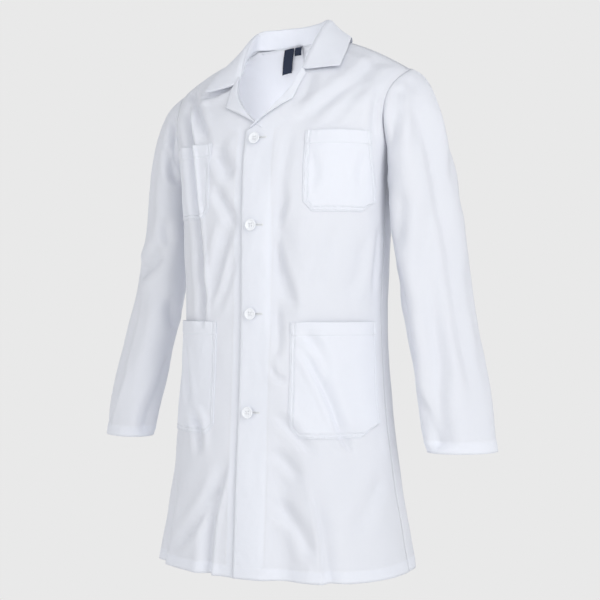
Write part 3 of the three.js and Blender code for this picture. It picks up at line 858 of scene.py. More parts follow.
def spread(*stops):
    """Increasing positions through (value, step) stops: each step holds up to the next value."""
    parts = []
    for (value, step), (following, _) in zip(stops, stops[1:]):
        count = max(1, round(abs(following - value) / step))
        parts.append(np.linspace(value, following, count, endpoint=False))
    return np.concatenate(parts + [[stops[-1][0]]])


def two_part(split, first, second):
    """Shares from 0 to 1: `first` of them up to the split, the others beyond it."""
    return np.concatenate([np.linspace(0, split, first), np.linspace(split, 1, second)[1:]])


def panel_heights(top_of, columns_s, side, rows_low, rows_high):
    """Heights of a panel's grid: level rows up to the lapel break, then spread up to its top."""
    top = np.full(columns_s(0.0).shape, float(TIP_Z))
    for _ in range(14):
        s = columns_s(top)
        x = np.abs(body_point(side, s, top)[..., 0])
        top = top_of(x)
    low = np.broadcast_to(rows_low[:, None], (len(rows_low), len(top)))
    high = OPENING_Z + (top[None, :] - OPENING_Z) * rows_high[:, None]
    return np.concatenate([low, high[1:]])


def column_s(side, share, z, inner, width, split):
    """s of each column at its height: the first columns keep their distance from the inner edge."""
    z = np.broadcast_to(z, np.broadcast_shapes(np.shape(share), np.shape(z)))
    inner = np.broadcast_to(inner, z.shape)
    near = s_at(side, inner + width * np.minimum(share / split, 1), z)
    edge = s_at(side, inner + width, z)
    far = edge + (armhole_s(side, z) - edge) * np.clip((share - split) / (1 - split), 0, 1)
    return np.where(share <= split, near, far)


def front_columns(share):
    """A function that gives the s of a front's columns at each height."""
    return lambda z: column_s(FRONT, share, z, neck_edge_at(z)[..., 0], FACING_WIDTH, FRONT_SPLIT)


CENTRE_GAP = 0.2                    # from the centre plane to the edge of each back


def back_columns(share):
    """The same for a back."""
    return lambda z: column_s(BACK, share, z, CENTRE_GAP, NECK_X - CENTRE_GAP, BACK_SPLIT)


def front_top(x):
    """Height of a front's upper edge, the shoulder seam."""
    return ridge_at(x)[..., 0]


def back_top(x):
    """Height of a back's upper edge, the neckline and then the shoulder seam."""
    neck = BACK_NECK_Z + BACK_NECK_RISE * (np.minimum(x, NECK_X) / NECK_X) ** 2
    return np.where(x < NECK_X, neck, ridge_at(x)[..., 0])


LOW_ROWS = spread((0, 4), (HEM - 2, 1), (HEM + 2, 4.5), (OPENING_Z, 1))
HIGH_ROWS = np.linspace(0, 1, 34)
BACK_LOW_ROWS = spread((0, 5), (HEM - 2, 1), (HEM + 2, 8), (OPENING_Z, 1))
BACK_HIGH_ROWS = np.linspace(0, 1, 26)
FRONT_SPLIT, BACK_SPLIT = 0.3, 0.4  # share of the columns that keep their distance from the centre
FRONT_SHARE = two_part(FRONT_SPLIT, 15, 58)
BACK_SHARE = two_part(BACK_SPLIT, 14, 36)
CLOTH_PER_S = 250                   # millimetres of cloth in one unit of s near the armhole


def hem_step(z):
    """The turned-up hem stands a little proud and dips at its stitching."""
    return 0.45 * (1 - smoothstep(z, HEM - 0.5, HEM + 1)) - 0.35 * bell(z - HEM + 1, 1.5)


def seam_tuck(side, s, z):
    """Panels pull in along the side seam, the armhole and the shoulder seam."""
    from_edge = (armhole_s(side, z) - np.abs(s)) * CLOTH_PER_S
    base = body_point(side, s, z)
    from_top = ridge_at(np.abs(base[..., 0]))[..., 0] - z
    return -0.25 * bell(from_edge, 4) - 0.4 * bell(from_top, 3)


def front_panel(name, hand):
    """The left (hand 1) or right (hand -1) front."""
    columns = front_columns(FRONT_SHARE)
    z = panel_heights(front_top, columns, FRONT, LOW_ROWS, HIGH_ROWS)
    s = columns(z)
    x = body_point(FRONT, s, z)[..., 0]
    lift = stand_off(hand, x) + hem_step(z) + seam_tuck(FRONT, s, z)
    outer = on_body(FRONT, hand * s, z, lift)
    from_edge = x - neck_edge_at(z)[..., 0]
    over_facing = 1 - smoothstep(from_edge, FACING_WIDTH - 1, FACING_WIDTH)
    over_facing = over_facing * (1 - smoothstep(z, FACING_TOP - 10, FACING_TOP + 45))
    whiter = np.maximum(1 - smoothstep(z, HEM - 1, HEM), over_facing)
    thickness = np.where(z < HEM, DOUBLE, CLOTH)
    return shell(name, outer, thickness, WHITE, whiter=whiter)


def back_panel(name, hand):
    """The left (hand 1) or right (hand -1) back."""
    columns = back_columns(BACK_SHARE)
    z = panel_heights(back_top, columns, BACK, BACK_LOW_ROWS, BACK_HIGH_ROWS)
    s = columns(z)
    lift = hem_step(z) + seam_tuck(BACK, s, z)
    outer = on_body(BACK, hand * s, z, lift)
    whiter = 1 - smoothstep(z, HEM - 1, HEM)
    return shell(name, outer, np.where(z < HEM, DOUBLE, CLOTH), WHITE, whiter=whiter)


FACING_INSET = 0.6                  # of the facing's edge behind the front's edge


def facing(name, hand, lift):
    """The second layer behind a front's edge."""
    z = LOW_ROWS[:, None]
    x = np.linspace(FACING_INSET - OVERLAP, FACING_EDGE, 12)[None, :]
    s = s_at(FRONT, x, z)
    outer = on_body(FRONT, hand * s, z, lift)
    return shell(name, outer, CLOTH, WHITE, whiter=1.0)


# ---------- patch pockets ----------


POCKET_STEP = 2.2                   # of the grid inside a pocket
EDGE_STEP, EDGE_BAND = 0.9, 9       # of the grid beside the pocket's edges, and how far in that goes
PUCKER, PUCKER_LENGTH = 0.4, 8.5    # height and length of the small waves that stitching draws up
POCKET_LIFT = 1.5                   # of a pocket's outside off the front's
POCKET_PER_S = 270                  # millimetres of cloth in one unit of s across the pockets
# rows of stitches round a pocket: inset, depth and width of the dip that they draw
POCKET_ROWS = ((1.8, 1.0, 0.9), (7.4, 1.1, 1.1))


class Pocket:
    """A patch pocket's grid: s, height, and distances of each point from its sides and its foot."""

    def __init__(self, node, hand, corner, gape):
        low, high = node_box(node)
        self.node, self.hand, self.gape = node, hand, gape
        self.bottom, self.top = low[2], high[2]
        self.tall = self.top - self.bottom
        v = self.rows()
        z = (self.bottom + v)[:, None]
        cut = 0.8 * corner * np.clip(1 - v / corner, 0, 1)[:, None]
        inner, outer = sorted((abs(low[0]), abs(high[0])))
        start = s_at(FRONT, inner + cut, z)
        end = s_at(FRONT, self.outer_edge(outer - 2.5, z) - cut, z)
        width = (end - start) * POCKET_PER_S
        u = self.columns(float(width.mean()))
        self.s = start + (end - start) * u
        self.z = np.broadcast_to(z, self.s.shape)
        self.beside = np.minimum(u, 1 - u) * width
        self.above = np.broadcast_to(v[:, None], self.s.shape)

    def rows(self):
        """Heights above the foot: closer together by the foot, by the band's stitches and at the top."""
        band = self.tall - POCKET_BAND
        return spread(
            (0, EDGE_STEP), (EDGE_BAND, POCKET_STEP), (band - 2, EDGE_STEP), (band + 3, POCKET_STEP),
            (self.tall - 4, 1.3), (self.tall, 1))

    def columns(self, width):
        stops = ((0, EDGE_STEP), (EDGE_BAND, POCKET_STEP), (width - EDGE_BAND, EDGE_STEP), (width, 1))
        return spread(*stops) / width

    def outer_edge(self, x, z):
        """A hip pocket ends just before the side seam."""
        return x if self.top > UNDERARM_Z else np.minimum(x, section_at(z)[..., 0] - 1.5)

    def lift(self, s, z, lift):
        """How far off the body something lies that is `lift` off the front."""
        return stand_off(self.hand, body_point(FRONT, s, z)[..., 0]) + lift

    def cloth(self):
        edge = np.minimum(self.beside, self.above)
        waves = ripple(body_point(FRONT, self.s, self.z), 31, PUCKER_LENGTH, (1, 1, 1))
        height = self.lift(self.s, self.z, POCKET_LIFT) + PUCKER * waves * bell(edge - 5, 4)
        for inset, depth, width in POCKET_ROWS:
            height = height - depth * bell(edge - inset, width)
        from_band = self.tall - POCKET_BAND - self.above
        height = height + 0.5 * smoothstep(-from_band, -1, 1) - 0.7 * bell(from_band, 1.1)
        opening = smoothstep(self.above / self.tall, 0.55, 1) * smoothstep(self.beside, 6, 50)
        height = height + smoothstep(edge, 6, 45) * 1.6 + self.gape * opening
        outer = on_body(FRONT, self.hand * self.s, self.z, height)
        return shell(f"{self.node}_cloth", outer, 1.2, WHITE, whiter=1.0)

    def across(self, share):
        return self.s[:, 0] + (self.s[:, -1] - self.s[:, 0]) * share

    def outline(self, inset):
        """s and height of a row down one side, along the foot and up the other."""
        share = inset / (self.beside.max() * 2)
        keep = self.above[:, 0] >= inset
        left, right, z = self.across(share)[keep], self.across(1 - share)[keep], self.z[keep, 0]
        s = np.concatenate([left[::-1], np.linspace(left[0], right[0], 40), right])
        return s, np.concatenate([z[::-1], np.full(40, self.bottom + inset), z])

    def stitches(self):
        rows = [self.outline(inset) for inset, _, _ in POCKET_ROWS]
        at = int(np.argmin(np.abs(self.above[:, 0] - (self.tall - POCKET_BAND))))
        share = np.linspace(0.02, 0.98, 40)
        ends = self.s[at, 0], self.s[at, -1]
        rows.append((ends[0] + (ends[1] - ends[0]) * share, np.full(40, self.top - POCKET_BAND)))
        lifts = [self.lift(s, z, POCKET_LIFT + 0.1) for s, z in rows]
        return [seam_on_body(FRONT, self.hand * s, z, lift) for (s, z), lift in zip(rows, lifts)]


# ---------- seams of the body ----------

EDGE_INSET = 5                      # of the row of stitches along the front edge
SEAM_INSET = 5                      # of the row below the shoulder seam
CENTRE_ROW = 3.5                    # of the row beside the centre back seam, from the centre plane
HEM_ROW = HEM - 1.5                 # height of the row that holds the hem
SLIT_FOOT, SLIT_HEAD = 270, 411     # the stitched slit in the side seam beside a hip pocket
SLIT_ROW = 0.974                    # s of the row of stitches in front of it
TACK_ROWS = 5                       # close rows that make the bar tack at its foot
TACK_PITCH = 0.6


ARMHOLE_ROW = 0.022                 # of s between an armhole and its row of stitches
CLEAR_X = 200                       # a distance from the centre plane where both fronts lie on the body


def hem_seam(side, hand, start_x):
    """s, height and distance from the centre plane of the row that holds the hem."""
    x = np.linspace(start_x, section_at(HEM_ROW)[0] - 3, 160)
    z = np.full(len(x), HEM_ROW)
    return hand * s_at(side, x, z), z, x


def armhole_seam(side, hand):
    """The same for the row beside the armhole."""
    z = np.linspace(UNDERARM_Z + 25, TIP_Z - 6, 90)
    return hand * (armhole_s(side, z) - ARMHOLE_ROW), z, CLEAR_X


def upright_seam(hand, x, low, high):
    """The same for a row up a front at an even distance from the centre plane."""
    z = np.linspace(low, high, 240)
    return hand * s_at(FRONT, x, z), z, x


def slit_seams(hand):
    """The row in front of a side slit, and the bar tack at its foot."""
    z = np.linspace(SLIT_FOOT, SLIT_HEAD, 60)
    s = hand * np.linspace(SLIT_ROW - 0.006, 0.996, 12)
    tack = [(s, np.full(12, SLIT_FOOT + TACK_PITCH * k), CLEAR_X) for k in range(TACK_ROWS)]
    return [(hand * np.full(60, SLIT_ROW), z, CLEAR_X)] + tack


def front_seams(hand):
    """Rows down the facing and the front edge, along hem, armhole and shoulder, and by the side slit."""
    rows = [upright_seam(hand, FACING_EDGE, HEM, FACING_TOP)]
    if hand > 0:
        rows.append(upright_seam(hand, EDGE_INSET - OVERLAP, 3, OPENING_Z - 8))
    rows += [hem_seam(FRONT, hand, 2 - OVERLAP), armhole_seam(FRONT, hand)]
    x = np.linspace(NECK_X + 2, TIP_X - 8, 70)
    z = front_top(x) - SEAM_INSET
    rows.append((hand * s_at(FRONT, x, z), z, CLEAR_X))
    rows += slit_seams(hand)
    return [seam_on_body(FRONT, s, z, STITCH_LIFT + stand_off(hand, x)) for s, z, x in rows]


def back_seams(hand):
    """Rows beside the centre seam, along the hem and the armhole."""
    z = np.linspace(3, BACK_NECK_Z - 6, 260)
    rows = [(hand * s_at(BACK, CENTRE_ROW, z), z, 0), hem_seam(BACK, hand, 2), armhole_seam(BACK, hand)]
    return [seam_on_body(BACK, s, z, STITCH_LIFT) for s, z, _ in rows]


def dress_seams():
    for label_name, hand in HANDS:
        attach(stitching(f"back_stitching_{label_name}", back_seams(hand)), "torso")
    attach(stitching("front_stitching_right", front_seams(-1)), "torso")
    blend_skirt(stitching("front_stitching_left", front_seams(1)))


# ---------- sleeves ----------


SLEEVE_OVER = 0.005                 # how far the sleeve laps over the panels, in s


def armhole_ring(turn, lift):
    """Points of the armhole edge, one for each share of a turn, lifted off the panels."""
    rise = (1 + np.cos(2 * np.pi * turn)) / 2
    z = UNDERARM_Z + (TIP_Z - UNDERARM_Z) * rise
    points = []
    for side in (FRONT, BACK):
        s = armhole_s(side, z) - SLEEVE_OVER
        points.append(body_point(side, s, z) + body_normal(side, s, z) * lift)
    front = (turn < 0.5)[..., None]
    return np.where(front, points[0], points[1])


def sleeve_ring(turn, z):
    """Points of the sleeve's section at a height below the biceps line."""
    row = sleeve_at(z)
    tilt = np.radians(row[..., 4])
    around = 2 * np.pi * turn
    short = row[..., 3] * np.cos(around)
    long = -row[..., 2] * np.sin(around)
    x = row[..., 0] + np.sin(tilt) * short + np.cos(tilt) * long
    y = row[..., 1] - np.cos(tilt) * short + np.sin(tilt) * long
    return np.stack([x, y + SHIFT_Y, np.broadcast_to(z, x.shape)], -1)


def sleeve_head(turn, share, lift):
    """Points of the cap, which arches from the armhole (share 0) to the biceps line (share 1)."""
    rise = (1 + np.cos(2 * np.pi * turn)) / 2
    start = armhole_ring(turn, lift)
    end = sleeve_ring(turn, np.full(turn.shape, float(BICEPS_Z)))
    reach = np.linalg.norm(end - start, axis=-1, keepdims=True)
    leave = unit(np.stack([0.2 + 0.65 * rise, -0.25 * np.sin(2 * np.pi * turn), 0.65 * rise - 1.05], -1))
    arrive = unit(np.array([0.12, 0, -1.0]))
    t = share[..., None]
    blend = t * t * (3 - 2 * t)
    curved = leave * reach * t * (1 - t) ** 2 + arrive * reach * t * t * (t - 1)
    return start + (end - start) * blend + curved


def sleeve_base(turn, level):
    """The smooth sleeve: level 1..0 over the head, then the height below the biceps ring."""
    head = level > 0
    share = np.clip(1 - level, 0, 1)
    top = sleeve_head(turn, share, 0.15)
    lower = sleeve_ring(turn, np.where(head, BICEPS_Z, BICEPS_Z + level * (BICEPS_Z - CUFF_Z)))
    return np.where(head[..., None], top, lower)


def sleeve_normals(grid):
    across = np.roll(grid, -1, 1) - np.roll(grid, 1, 1)
    return unit(np.cross(np.gradient(grid, axis=0), across))


HEAD_LENGTH = 200                   # of the cloth from the armhole to the biceps line
HEAD_COUNT = 100                    # heights above the biceps line that stand for the whole head


def level_at(height):
    """The level of a fold's height: 1 at the armhole, 0 at the biceps line, -1 at the cuff."""
    above = height - BICEPS_Z
    return above / HEAD_COUNT if above > 0 else above / (BICEPS_Z - CUFF_Z)


def sleeve_grid(hand, turns, levels):
    """Points of the folded sleeve, levels by turns."""
    turn, level = np.meshgrid(turns, levels)
    base = sleeve_base(turn, level)
    normals = sleeve_normals(base)
    if np.mean(np.sum(normals[-1] * (base[-1] - base[-1].mean(0)), -1)) < 0:
        normals = -normals
    from_top = np.clip((1 - level) * HEAD_LENGTH, 0, HEAD_LENGTH)
    z = base[..., 2]
    lift = ripples(base, SLEEVE_RIPPLES, hand)
    for fold in SLEEVE_FOLDS[hand]:
        stops = [sleeve_base(np.array([a % 1.0]), np.array([level_at(b)]))[0] for a, b in fold.points]
        lift = lift + fold_height(base, normals, stops, fold)
    from_cuff = z - CUFF_Z
    lift = lift * smoothstep(from_top, 0, 22) + hem_step(from_cuff)
    flat = np.where(from_cuff <= 0, 0.0, 1.0)
    normals = normals * np.stack([np.ones_like(z), np.ones_like(z), flat], -1)
    points = base + normals * lift[..., None]
    points[..., 0] *= hand
    return points


SLEEVE_TURNS = np.arange(84) / 84
HEAD_LEVELS = 1 - np.linspace(0, 1, 42)
SLEEVE_HEIGHTS = spread((BICEPS_Z, 6), (CUFF_Z + HEM + 2, 1), (CUFF_Z + HEM - 3, 4), (CUFF_Z, 1))
SLEEVE_LEVELS = (SLEEVE_HEIGHTS - BICEPS_Z) / (BICEPS_Z - CUFF_Z)
ALL_LEVELS = np.concatenate([HEAD_LEVELS[:-1], SLEEVE_LEVELS])


def sleeves(hand, label):
    """The upper and lower pieces of a sleeve, cut from one grid so that they meet, and that grid."""
    points = sleeve_grid(hand, SLEEVE_TURNS, ALL_LEVELS)
    below = points[:, :, 2].mean(1)
    cut = int(np.argmin(np.abs(below - SPLIT_Z)))
    centre = points.mean(1).mean(0)
    from_cuff = points[..., 2] - CUFF_Z
    whiter = 1 - smoothstep(from_cuff, HEM - 1, HEM)
    thickness = np.where(from_cuff < HEM, DOUBLE, CLOTH)
    upper = shell(
        f"sleeve_upper_{label}_cloth", points[:cut + 1], CLOTH, WHITE, True, centre, open_end="last")
    lower = shell(
        f"sleeve_lower_{label}_cloth", points[cut:], thickness[cut:], WHITE, True, centre,
        whiter[cut:], "first")
    return upper, lower, points


# ---------- lapels and collar ----------


GORGE_Z = 842
LAPEL_NOTCH = {1: np.array([68, 829]), -1: np.array([66, 829])}
LAPEL_TIP = {1: np.array([58, 784]), -1: np.array([69, 787])}
BREAK_Z = {1: 736, -1: 731}         # where each lapel starts to roll over
LAPEL_RISE = 4.7                    # of the lapel's outside off the front's, along its roll
LAPEL_FOOT, LAPEL_SINK = 0.5, 1.2   # its height where it leaves the front, and its fall to its edge
LAPEL_ROLL = 0.16                   # share of its width that rounds over the roll
LAPEL_FOOT_ROW, LAPEL_EDGE_ROW = 0.05, 0.8    # u and v of the rows of stitches on a lapel


def lapel_height(v):
    """How far the lapel stands off the front, from its roll (v 0) to its free edge (v 1)."""
    t = np.clip(v / LAPEL_ROLL, 0, 1)
    rise = LAPEL_FOOT + (LAPEL_RISE - LAPEL_FOOT) * np.sqrt(t * (2 - t))
    return rise - LAPEL_SINK * smoothstep(v, 0.3, 1)


def lapel_point(hand, u, v):
    """Distance from the centre plane and height of a point of a lapel."""
    z = BREAK_Z[hand] + (GORGE_Z - BREAK_Z[hand]) * u
    free = LAPEL_TIP[hand] + (LAPEL_NOTCH[hand] - LAPEL_TIP[hand]) * u[..., None]
    rolled = np.stack([neck_edge_at(z)[..., 0] + 1, z], -1)
    mixed = rolled + (free - rolled) * v[..., None]
    return mixed[..., 0], mixed[..., 1]


def lapel(name, hand):
    """The turned-back top of a front, rolling over along the neck edge."""
    v, u = np.meshgrid(np.linspace(0, 1, 18), np.linspace(0, 1, 30))
    x, z = lapel_point(hand, u, v)
    points, _ = spot_on_front(hand, x, z, lapel_height(v))
    return shell(name, points, 1.6, WHITE, whiter=1.0)


def lapel_stitches(hand):
    """One row along the lapel's free edges."""
    u = np.concatenate([np.full(20, LAPEL_FOOT_ROW), np.linspace(LAPEL_FOOT_ROW, 0.93, 16)])
    v = np.concatenate([np.linspace(0.1, LAPEL_EDGE_ROW, 20), np.full(16, LAPEL_EDGE_ROW)])
    x, z = lapel_point(hand, u, v)
    return spot_on_front(hand, x, z, lapel_height(v) + STITCH_LIFT)


def collar_line(left, right=None):
    """Points round the whole collar: up its left side to the centre back and down its right side."""
    left = np.array(left, float)
    right = left[:-1] if right is None else np.array(right, float)
    both = np.concatenate([left, right[::-1] * np.array([-1, 1, 1])])
    both[:, 1] += SHIFT_Y
    return both


def neck_edge_points():
    """The neckline's left half, from the gorge up to the shoulder seam and back to the centre."""
    z = np.array([TIP_Z, 868.0, 890.0, 907.0])
    front = body_point(FRONT, s_at(FRONT, neck_edge_at(z)[..., 0], z), z)
    x = np.array([45.0, 0.0])
    top = back_top(x)
    back = body_point(BACK, s_at(BACK, x, top), top)
    left = np.concatenate([front, back])
    left[:, 1] -= SHIFT_Y
    return left


NECK_SEAM = collar_line(neck_edge_points())
COLLAR_ROLL = collar_line(
    [[57, -62, 838], [66, -28, 890], [68, 8, 925], [64, 38, 941], [38, 59, 941], [0, 67, 939]],
    [[57, -62, 831], [64, -30, 884], [67, 8, 923], [64, 38, 941], [38, 59, 941]])
COLLAR_EDGE = collar_line(
    [[125, -54, 842], [122, -22, 869], [109, 36, 906], [90, 73, 895], [45, 88, 888], [0, 92, 888]],
    [[123, -68, 827], [119, -27, 863], [105, 36, 902], [88, 73, 893], [45, 88, 888]])


NECK_MIDDLE_Y = 15


def collar_away(points):
    """Level directions out from the middle of the neck."""
    flat = points - np.array([0, NECK_MIDDLE_Y + SHIFT_Y, 0])
    flat[..., 2] = 0
    return unit(flat)


def collar_stand():
    """The band between the neck seam and the roll of the collar."""
    along = np.linspace(0.03, 0.97, 90)
    knots = np.linspace(0, 1, 11)
    foot = smooth_table(np.column_stack([knots, NECK_SEAM]))(along)
    head = smooth_table(np.column_stack([knots, COLLAR_ROLL]))(along) + np.array([0, 0, 0.2])
    v = np.linspace(0, 1, 12)[:, None, None]
    bow = np.sin(np.pi * v) * 1.5
    points = foot[None] + (head - foot)[None] * v - collar_away(head)[None] * bow
    return shell("collar_stand_cloth", points, DOUBLE, WHITE, whiter=1.0)


ROLL_SHARE = 0.2                    # of the leaf's width that rounds over its roll
ROLL_OUT, ROLL_UP, LEAF_BELLY = 6.0, 1.2, 3.0
LEAF_RIPPLES = ((0.35, 41, 34),)


def leaf_points(along, v):
    """Points of the collar's leaf, from its roll (v 0) to its free edge (v 1)."""
    knots = np.linspace(0, 1, len(COLLAR_ROLL))
    roll = smooth_table(np.column_stack([knots, COLLAR_ROLL]))(along)
    edge = smooth_table(np.column_stack([knots, COLLAR_EDGE]))(along)
    v = v[:, None, None]
    turn = np.clip(v / ROLL_SHARE, 0, 1)
    over = ROLL_OUT * np.sin(turn * np.pi / 2) * (1 - v) + LEAF_BELLY * np.sin(np.pi * v)
    up = ROLL_UP * np.sin(turn * np.pi)
    base = roll[None] + (edge - roll)[None] * smoothstep(v, 0, 1) ** 0.9
    points = base + collar_away(roll)[None] * over + np.array([0, 0, 1.0]) * up
    return points + unit(points - base) * ripples(points, LEAF_RIPPLES)[..., None]


def collar_leaf():
    """The turned-down leaf of the collar."""
    v = np.concatenate([np.linspace(0, ROLL_SHARE, 8), np.linspace(ROLL_SHARE, 1, 22)[1:]])
    return shell("collar_leaf_cloth", leaf_points(np.linspace(0, 1, 150), v), 2.0, WHITE, whiter=1.0)


def collar_stitches():
    """One row round the leaf's free edge and up both of its ends."""
    grid = leaf_points(np.linspace(0, 1, 301), np.linspace(0, 1, 61))
    normals = unit(np.cross(np.gradient(grid, axis=1), np.gradient(grid, axis=0)))
    first, inset, deep = 16, 5, 54          # rows and columns of that grid which the stitches follow
    side = slice(first, deep)
    ends = slice(inset, inset + 1), slice(-inset - 1, -inset)
    made = []
    for part in ((slice(deep, deep + 1), slice(inset, -inset)), (side, ends[0]), (side, ends[1])):
        points, away = grid[part].reshape(-1, 3), normals[part].reshape(-1, 3)
        outward = np.sign(np.sum(away * collar_away(points)))
        made.append((points + away * outward * STITCH_LIFT, away * outward))
    return made


# ---------- buttons ----------


def button_axes(index):
    """Directions across, up and out of a button's face."""
    joint = JOINTS[f"button_{index}_twist"]
    away = np.array(joint["axis"], float)
    across = np.array([1.0, 0, 0])
    return across, unit(np.cross(away, across)), unit(away)


def lathe(profile, segments):
    """Vertices and faces of a closed profile of (radius, height) turned about its axis."""
    verts, faces, rings = [], [], []
    for radius, height in profile:
        if radius < 1e-6:
            rings.append([len(verts)])
            verts.append((0, 0, height))
            continue
        rings.append(list(range(len(verts), len(verts) + segments)))
        for k in range(segments):
            angle = 2 * math.pi * k / segments
            verts.append((radius * math.cos(angle), radius * math.sin(angle), height))
    for low, high in zip(rings, rings[1:]):
        for k in range(segments):
            m = (k + 1) % segments
            if len(low) == 1:
                faces.append([low[0], high[m], high[k]])
            elif len(high) == 1:
                faces.append([low[k], low[m], high[0]])
            else:
                faces.append([low[k], low[m], high[m], high[k]])
    return np.array(verts, float), faces


def apply_modifiers(obj):
    """Keeps what the modifiers make, and removes them."""
    graph = bpy.context.evaluated_depsgraph_get()
    baked = bpy.data.meshes.new_from_object(obj.evaluated_get(graph))
    obj.modifiers.clear()
    obj.data = baked


# radius and height of a button's outline from the middle of its back round to the middle of its face
BUTTON_PROFILE = (
    (0, 0), (6.8, 0), (8.3, 0.25), (9.3, 0.8), (9.85, 1.5), (9.9, 2.1), (9.5, 2.75), (8.9, 3.05),
    (8.2, 3.0), (7.5, 2.6), (6.9, 2.1), (5.6, 1.8), (0, 1.75),
)
SHANK_PROFILE = ((0, -4.3), (1.2, -4.3), (0.95, -2.0), (1.5, -0.15), (0, -0.15))
BUTTON_BACK = 1.55                  # from the middle of the frame's button to its back
HOLE_SPACING, HOLE_RADIUS = 1.9, 0.95
STRAND, STRAND_PITCH = 0.24, 0.36   # radius of a strand of the button's thread, and between strands
STRAND_ENDS, STRAND_RISE = 1.2, 1.15


def cut_holes(obj):
    """The button's four holes, cut right through it."""
    outline = ((0, -1), (HOLE_RADIUS, -1), (HOLE_RADIUS, 3), (0, 3))
    for x, y in ((x, y) for x in (-1, 1) for y in (-1, 1)):
        verts, faces = lathe(outline, 20)
        cutter = new_object("cutter", verts + np.array([x, y, 0]) * HOLE_SPACING, faces)
        modifier = obj.modifiers.new("hole", "BOOLEAN")
        modifier.object = cutter
        modifier.operation = "DIFFERENCE"
        apply_modifiers(obj)
        bpy.data.objects.remove(cutter)


def place_on_button(obj, index):
    """Moves a piece made round the origin, facing +Z, to where the frame's button has its back."""
    turn = np.stack(button_axes(index), 1)
    base = BUTTON_CENTRES[index - 1] - turn[:, 2] * BUTTON_BACK
    co = np.array([v.co for v in obj.data.vertices]) / MM
    obj.data.vertices.foreach_set("co", ((co @ turn.T + base) * MM).ravel())
    obj.data.update()


def button(index):
    """A turned button with a rounded rim, a sunken middle and four holes."""
    verts, faces = lathe(BUTTON_PROFILE, 56)
    obj = new_object(f"button_{index}_disc", verts, faces, PLASTIC)
    cut_holes(obj)
    place_on_button(obj, index)
    obj.data.polygons.foreach_set("use_smooth", [True] * len(obj.data.polygons))
    return obj


def button_thread(index):
    """Two bars of three strands each, from hole to hole, and the shank under the button."""
    parts = [lathe(SHANK_PROFILE, 12)]
    share = np.linspace(0, 1, 11)
    for side in (-1, 1):
        for k in (-1, 0, 1):
            x = (share - 0.5) * 2 * (HOLE_SPACING + 0.05 * k)
            y = np.full(len(share), side * HOLE_SPACING + STRAND_PITCH * k)
            z = STRAND_ENDS + STRAND_RISE * np.sin(np.pi * share) ** 0.45
            parts.append(thread_along(np.stack([x, y, z], -1), np.array([[0, 1.0, 0]]), STRAND, 6))
    obj = joined(f"button_{index}_thread", parts, THREAD)
    place_on_button(obj, index)
    return obj


def thread_along(points, side, radius, sides):
    """A closed tube along a line of points; side is a direction across the line."""
    ahead = unit(np.gradient(points, axis=0))
    side = np.broadcast_to(side, ahead.shape)
    up = unit(np.cross(ahead, side))
    angles = 2 * np.pi * np.arange(sides) / sides
    ring = side[:, None] * np.cos(angles)[:, None] + up[:, None] * np.sin(angles)[:, None]
    verts = (points[:, None] + ring * radius).reshape(-1, 3)
    faces = grid_faces(len(points), sides, 0, True, False).tolist()
    last = len(verts) - sides
    return verts, faces + [list(range(sides))[::-1], list(range(last, last + sides))]


SLIT_ENDS = (-3.0, 19.5)            # of a buttonhole, from the button's middle
SLIT_HALF, SATIN_LENGTH = 0.35, 1.5
SATIN_PITCH, SATIN_RADIUS, SATIN_RISE = 0.62, 0.3, 0.28
END_STITCHES = 9                    # fanned round the outer end of a buttonhole


def satin_spans():
    """Start and end of each stitch round a slit, as (x, height, x, height) from the button's middle."""
    reach = SLIT_HALF + SATIN_LENGTH
    spans = []
    for x in np.arange(*SLIT_ENDS, SATIN_PITCH):
        spans += [(x, SLIT_HALF, x, reach), (x, -SLIT_HALF, x, -reach)]
    end = SLIT_ENDS[1]
    for angle in np.linspace(-math.pi / 2, math.pi / 2, END_STITCHES):
        spans.append((end, 0, end + reach * math.cos(angle), reach * math.sin(angle)))
    return spans


def buttonhole(index):
    """Close satin stitches round a slit that runs sideways from under the button."""
    rise = SATIN_RISE * np.sin(np.pi * np.linspace(0.12, 0.95, 4))[:, None]
    parts = []
    for x0, h0, x1, h1 in satin_spans():
        x = np.linspace(x0, x1, 4)
        z = BUTTON_CENTRES[index - 1][2] + np.linspace(h0, h1, 4)
        points, normals = spot_on_front(1, x, z, 0.15)
        parts.append(thread_along(points + normals * rise, normals, SATIN_RADIUS, 4))
    return joined(f"buttonhole_{index}_stitch", parts, THREAD)


def buttonhole_slit(index):
    """The dark line of the slit between the satin stitches: a grey sheet whose colour is painted shade
    for the shadowed gap.
    """
    x, height = np.meshgrid(np.linspace(*SLIT_ENDS, 30), np.linspace(-0.55, 0.55, 4))
    points, _ = spot_on_front(1, x, BUTTON_CENTRES[index - 1][2] + height, STITCH_LIFT)
    return shell(f"buttonhole_{index}_slit", points, 0.1, SHADOW)


# ---------- labels ----------


LABEL_LEAN = 0.24                   # sideways per length: a label seldom hangs quite straight
LABEL_CURL = (0.8, 1.5)             # how far its middle stands forward, across it and along it
FRAME_NECK_Z = 903                  # of the frame's back neck seam
LABEL_UP = BACK_NECK_Z - FRAME_NECK_Z


BEHIND_LABELS = np.array([0, 400, 880])


def label(name, node):
    """A blank woven label that hangs from the back neck seam and curls a little."""
    low, high = node_box(node)
    v = np.linspace(0, 1, 20)[:, None]
    u = np.linspace(0, 1, 10)[None, :]
    x = low[0] + (high[0] - low[0]) * u - LABEL_LEAN * (high[2] - low[2]) * v
    z = high[2] + (low[2] - high[2]) * v + LABEL_UP + 0 * u
    curl = LABEL_CURL[0] * np.sin(np.pi * u) + LABEL_CURL[1] * np.sin(np.pi * v) ** 2
    y = low[1] + (high[1] - low[1]) * v - curl
    points = np.stack([x, y, z], -1)
    return shell(name, points, 0.5, NAVY, hint=BEHIND_LABELS)


# ---------- dressing the frame ----------


def ride_and_replace(obj, body, *nodes):
    """Makes a piece ride on a body and stand for CAD nodes."""
    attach(obj, body)
    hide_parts(*nodes)
    return obj


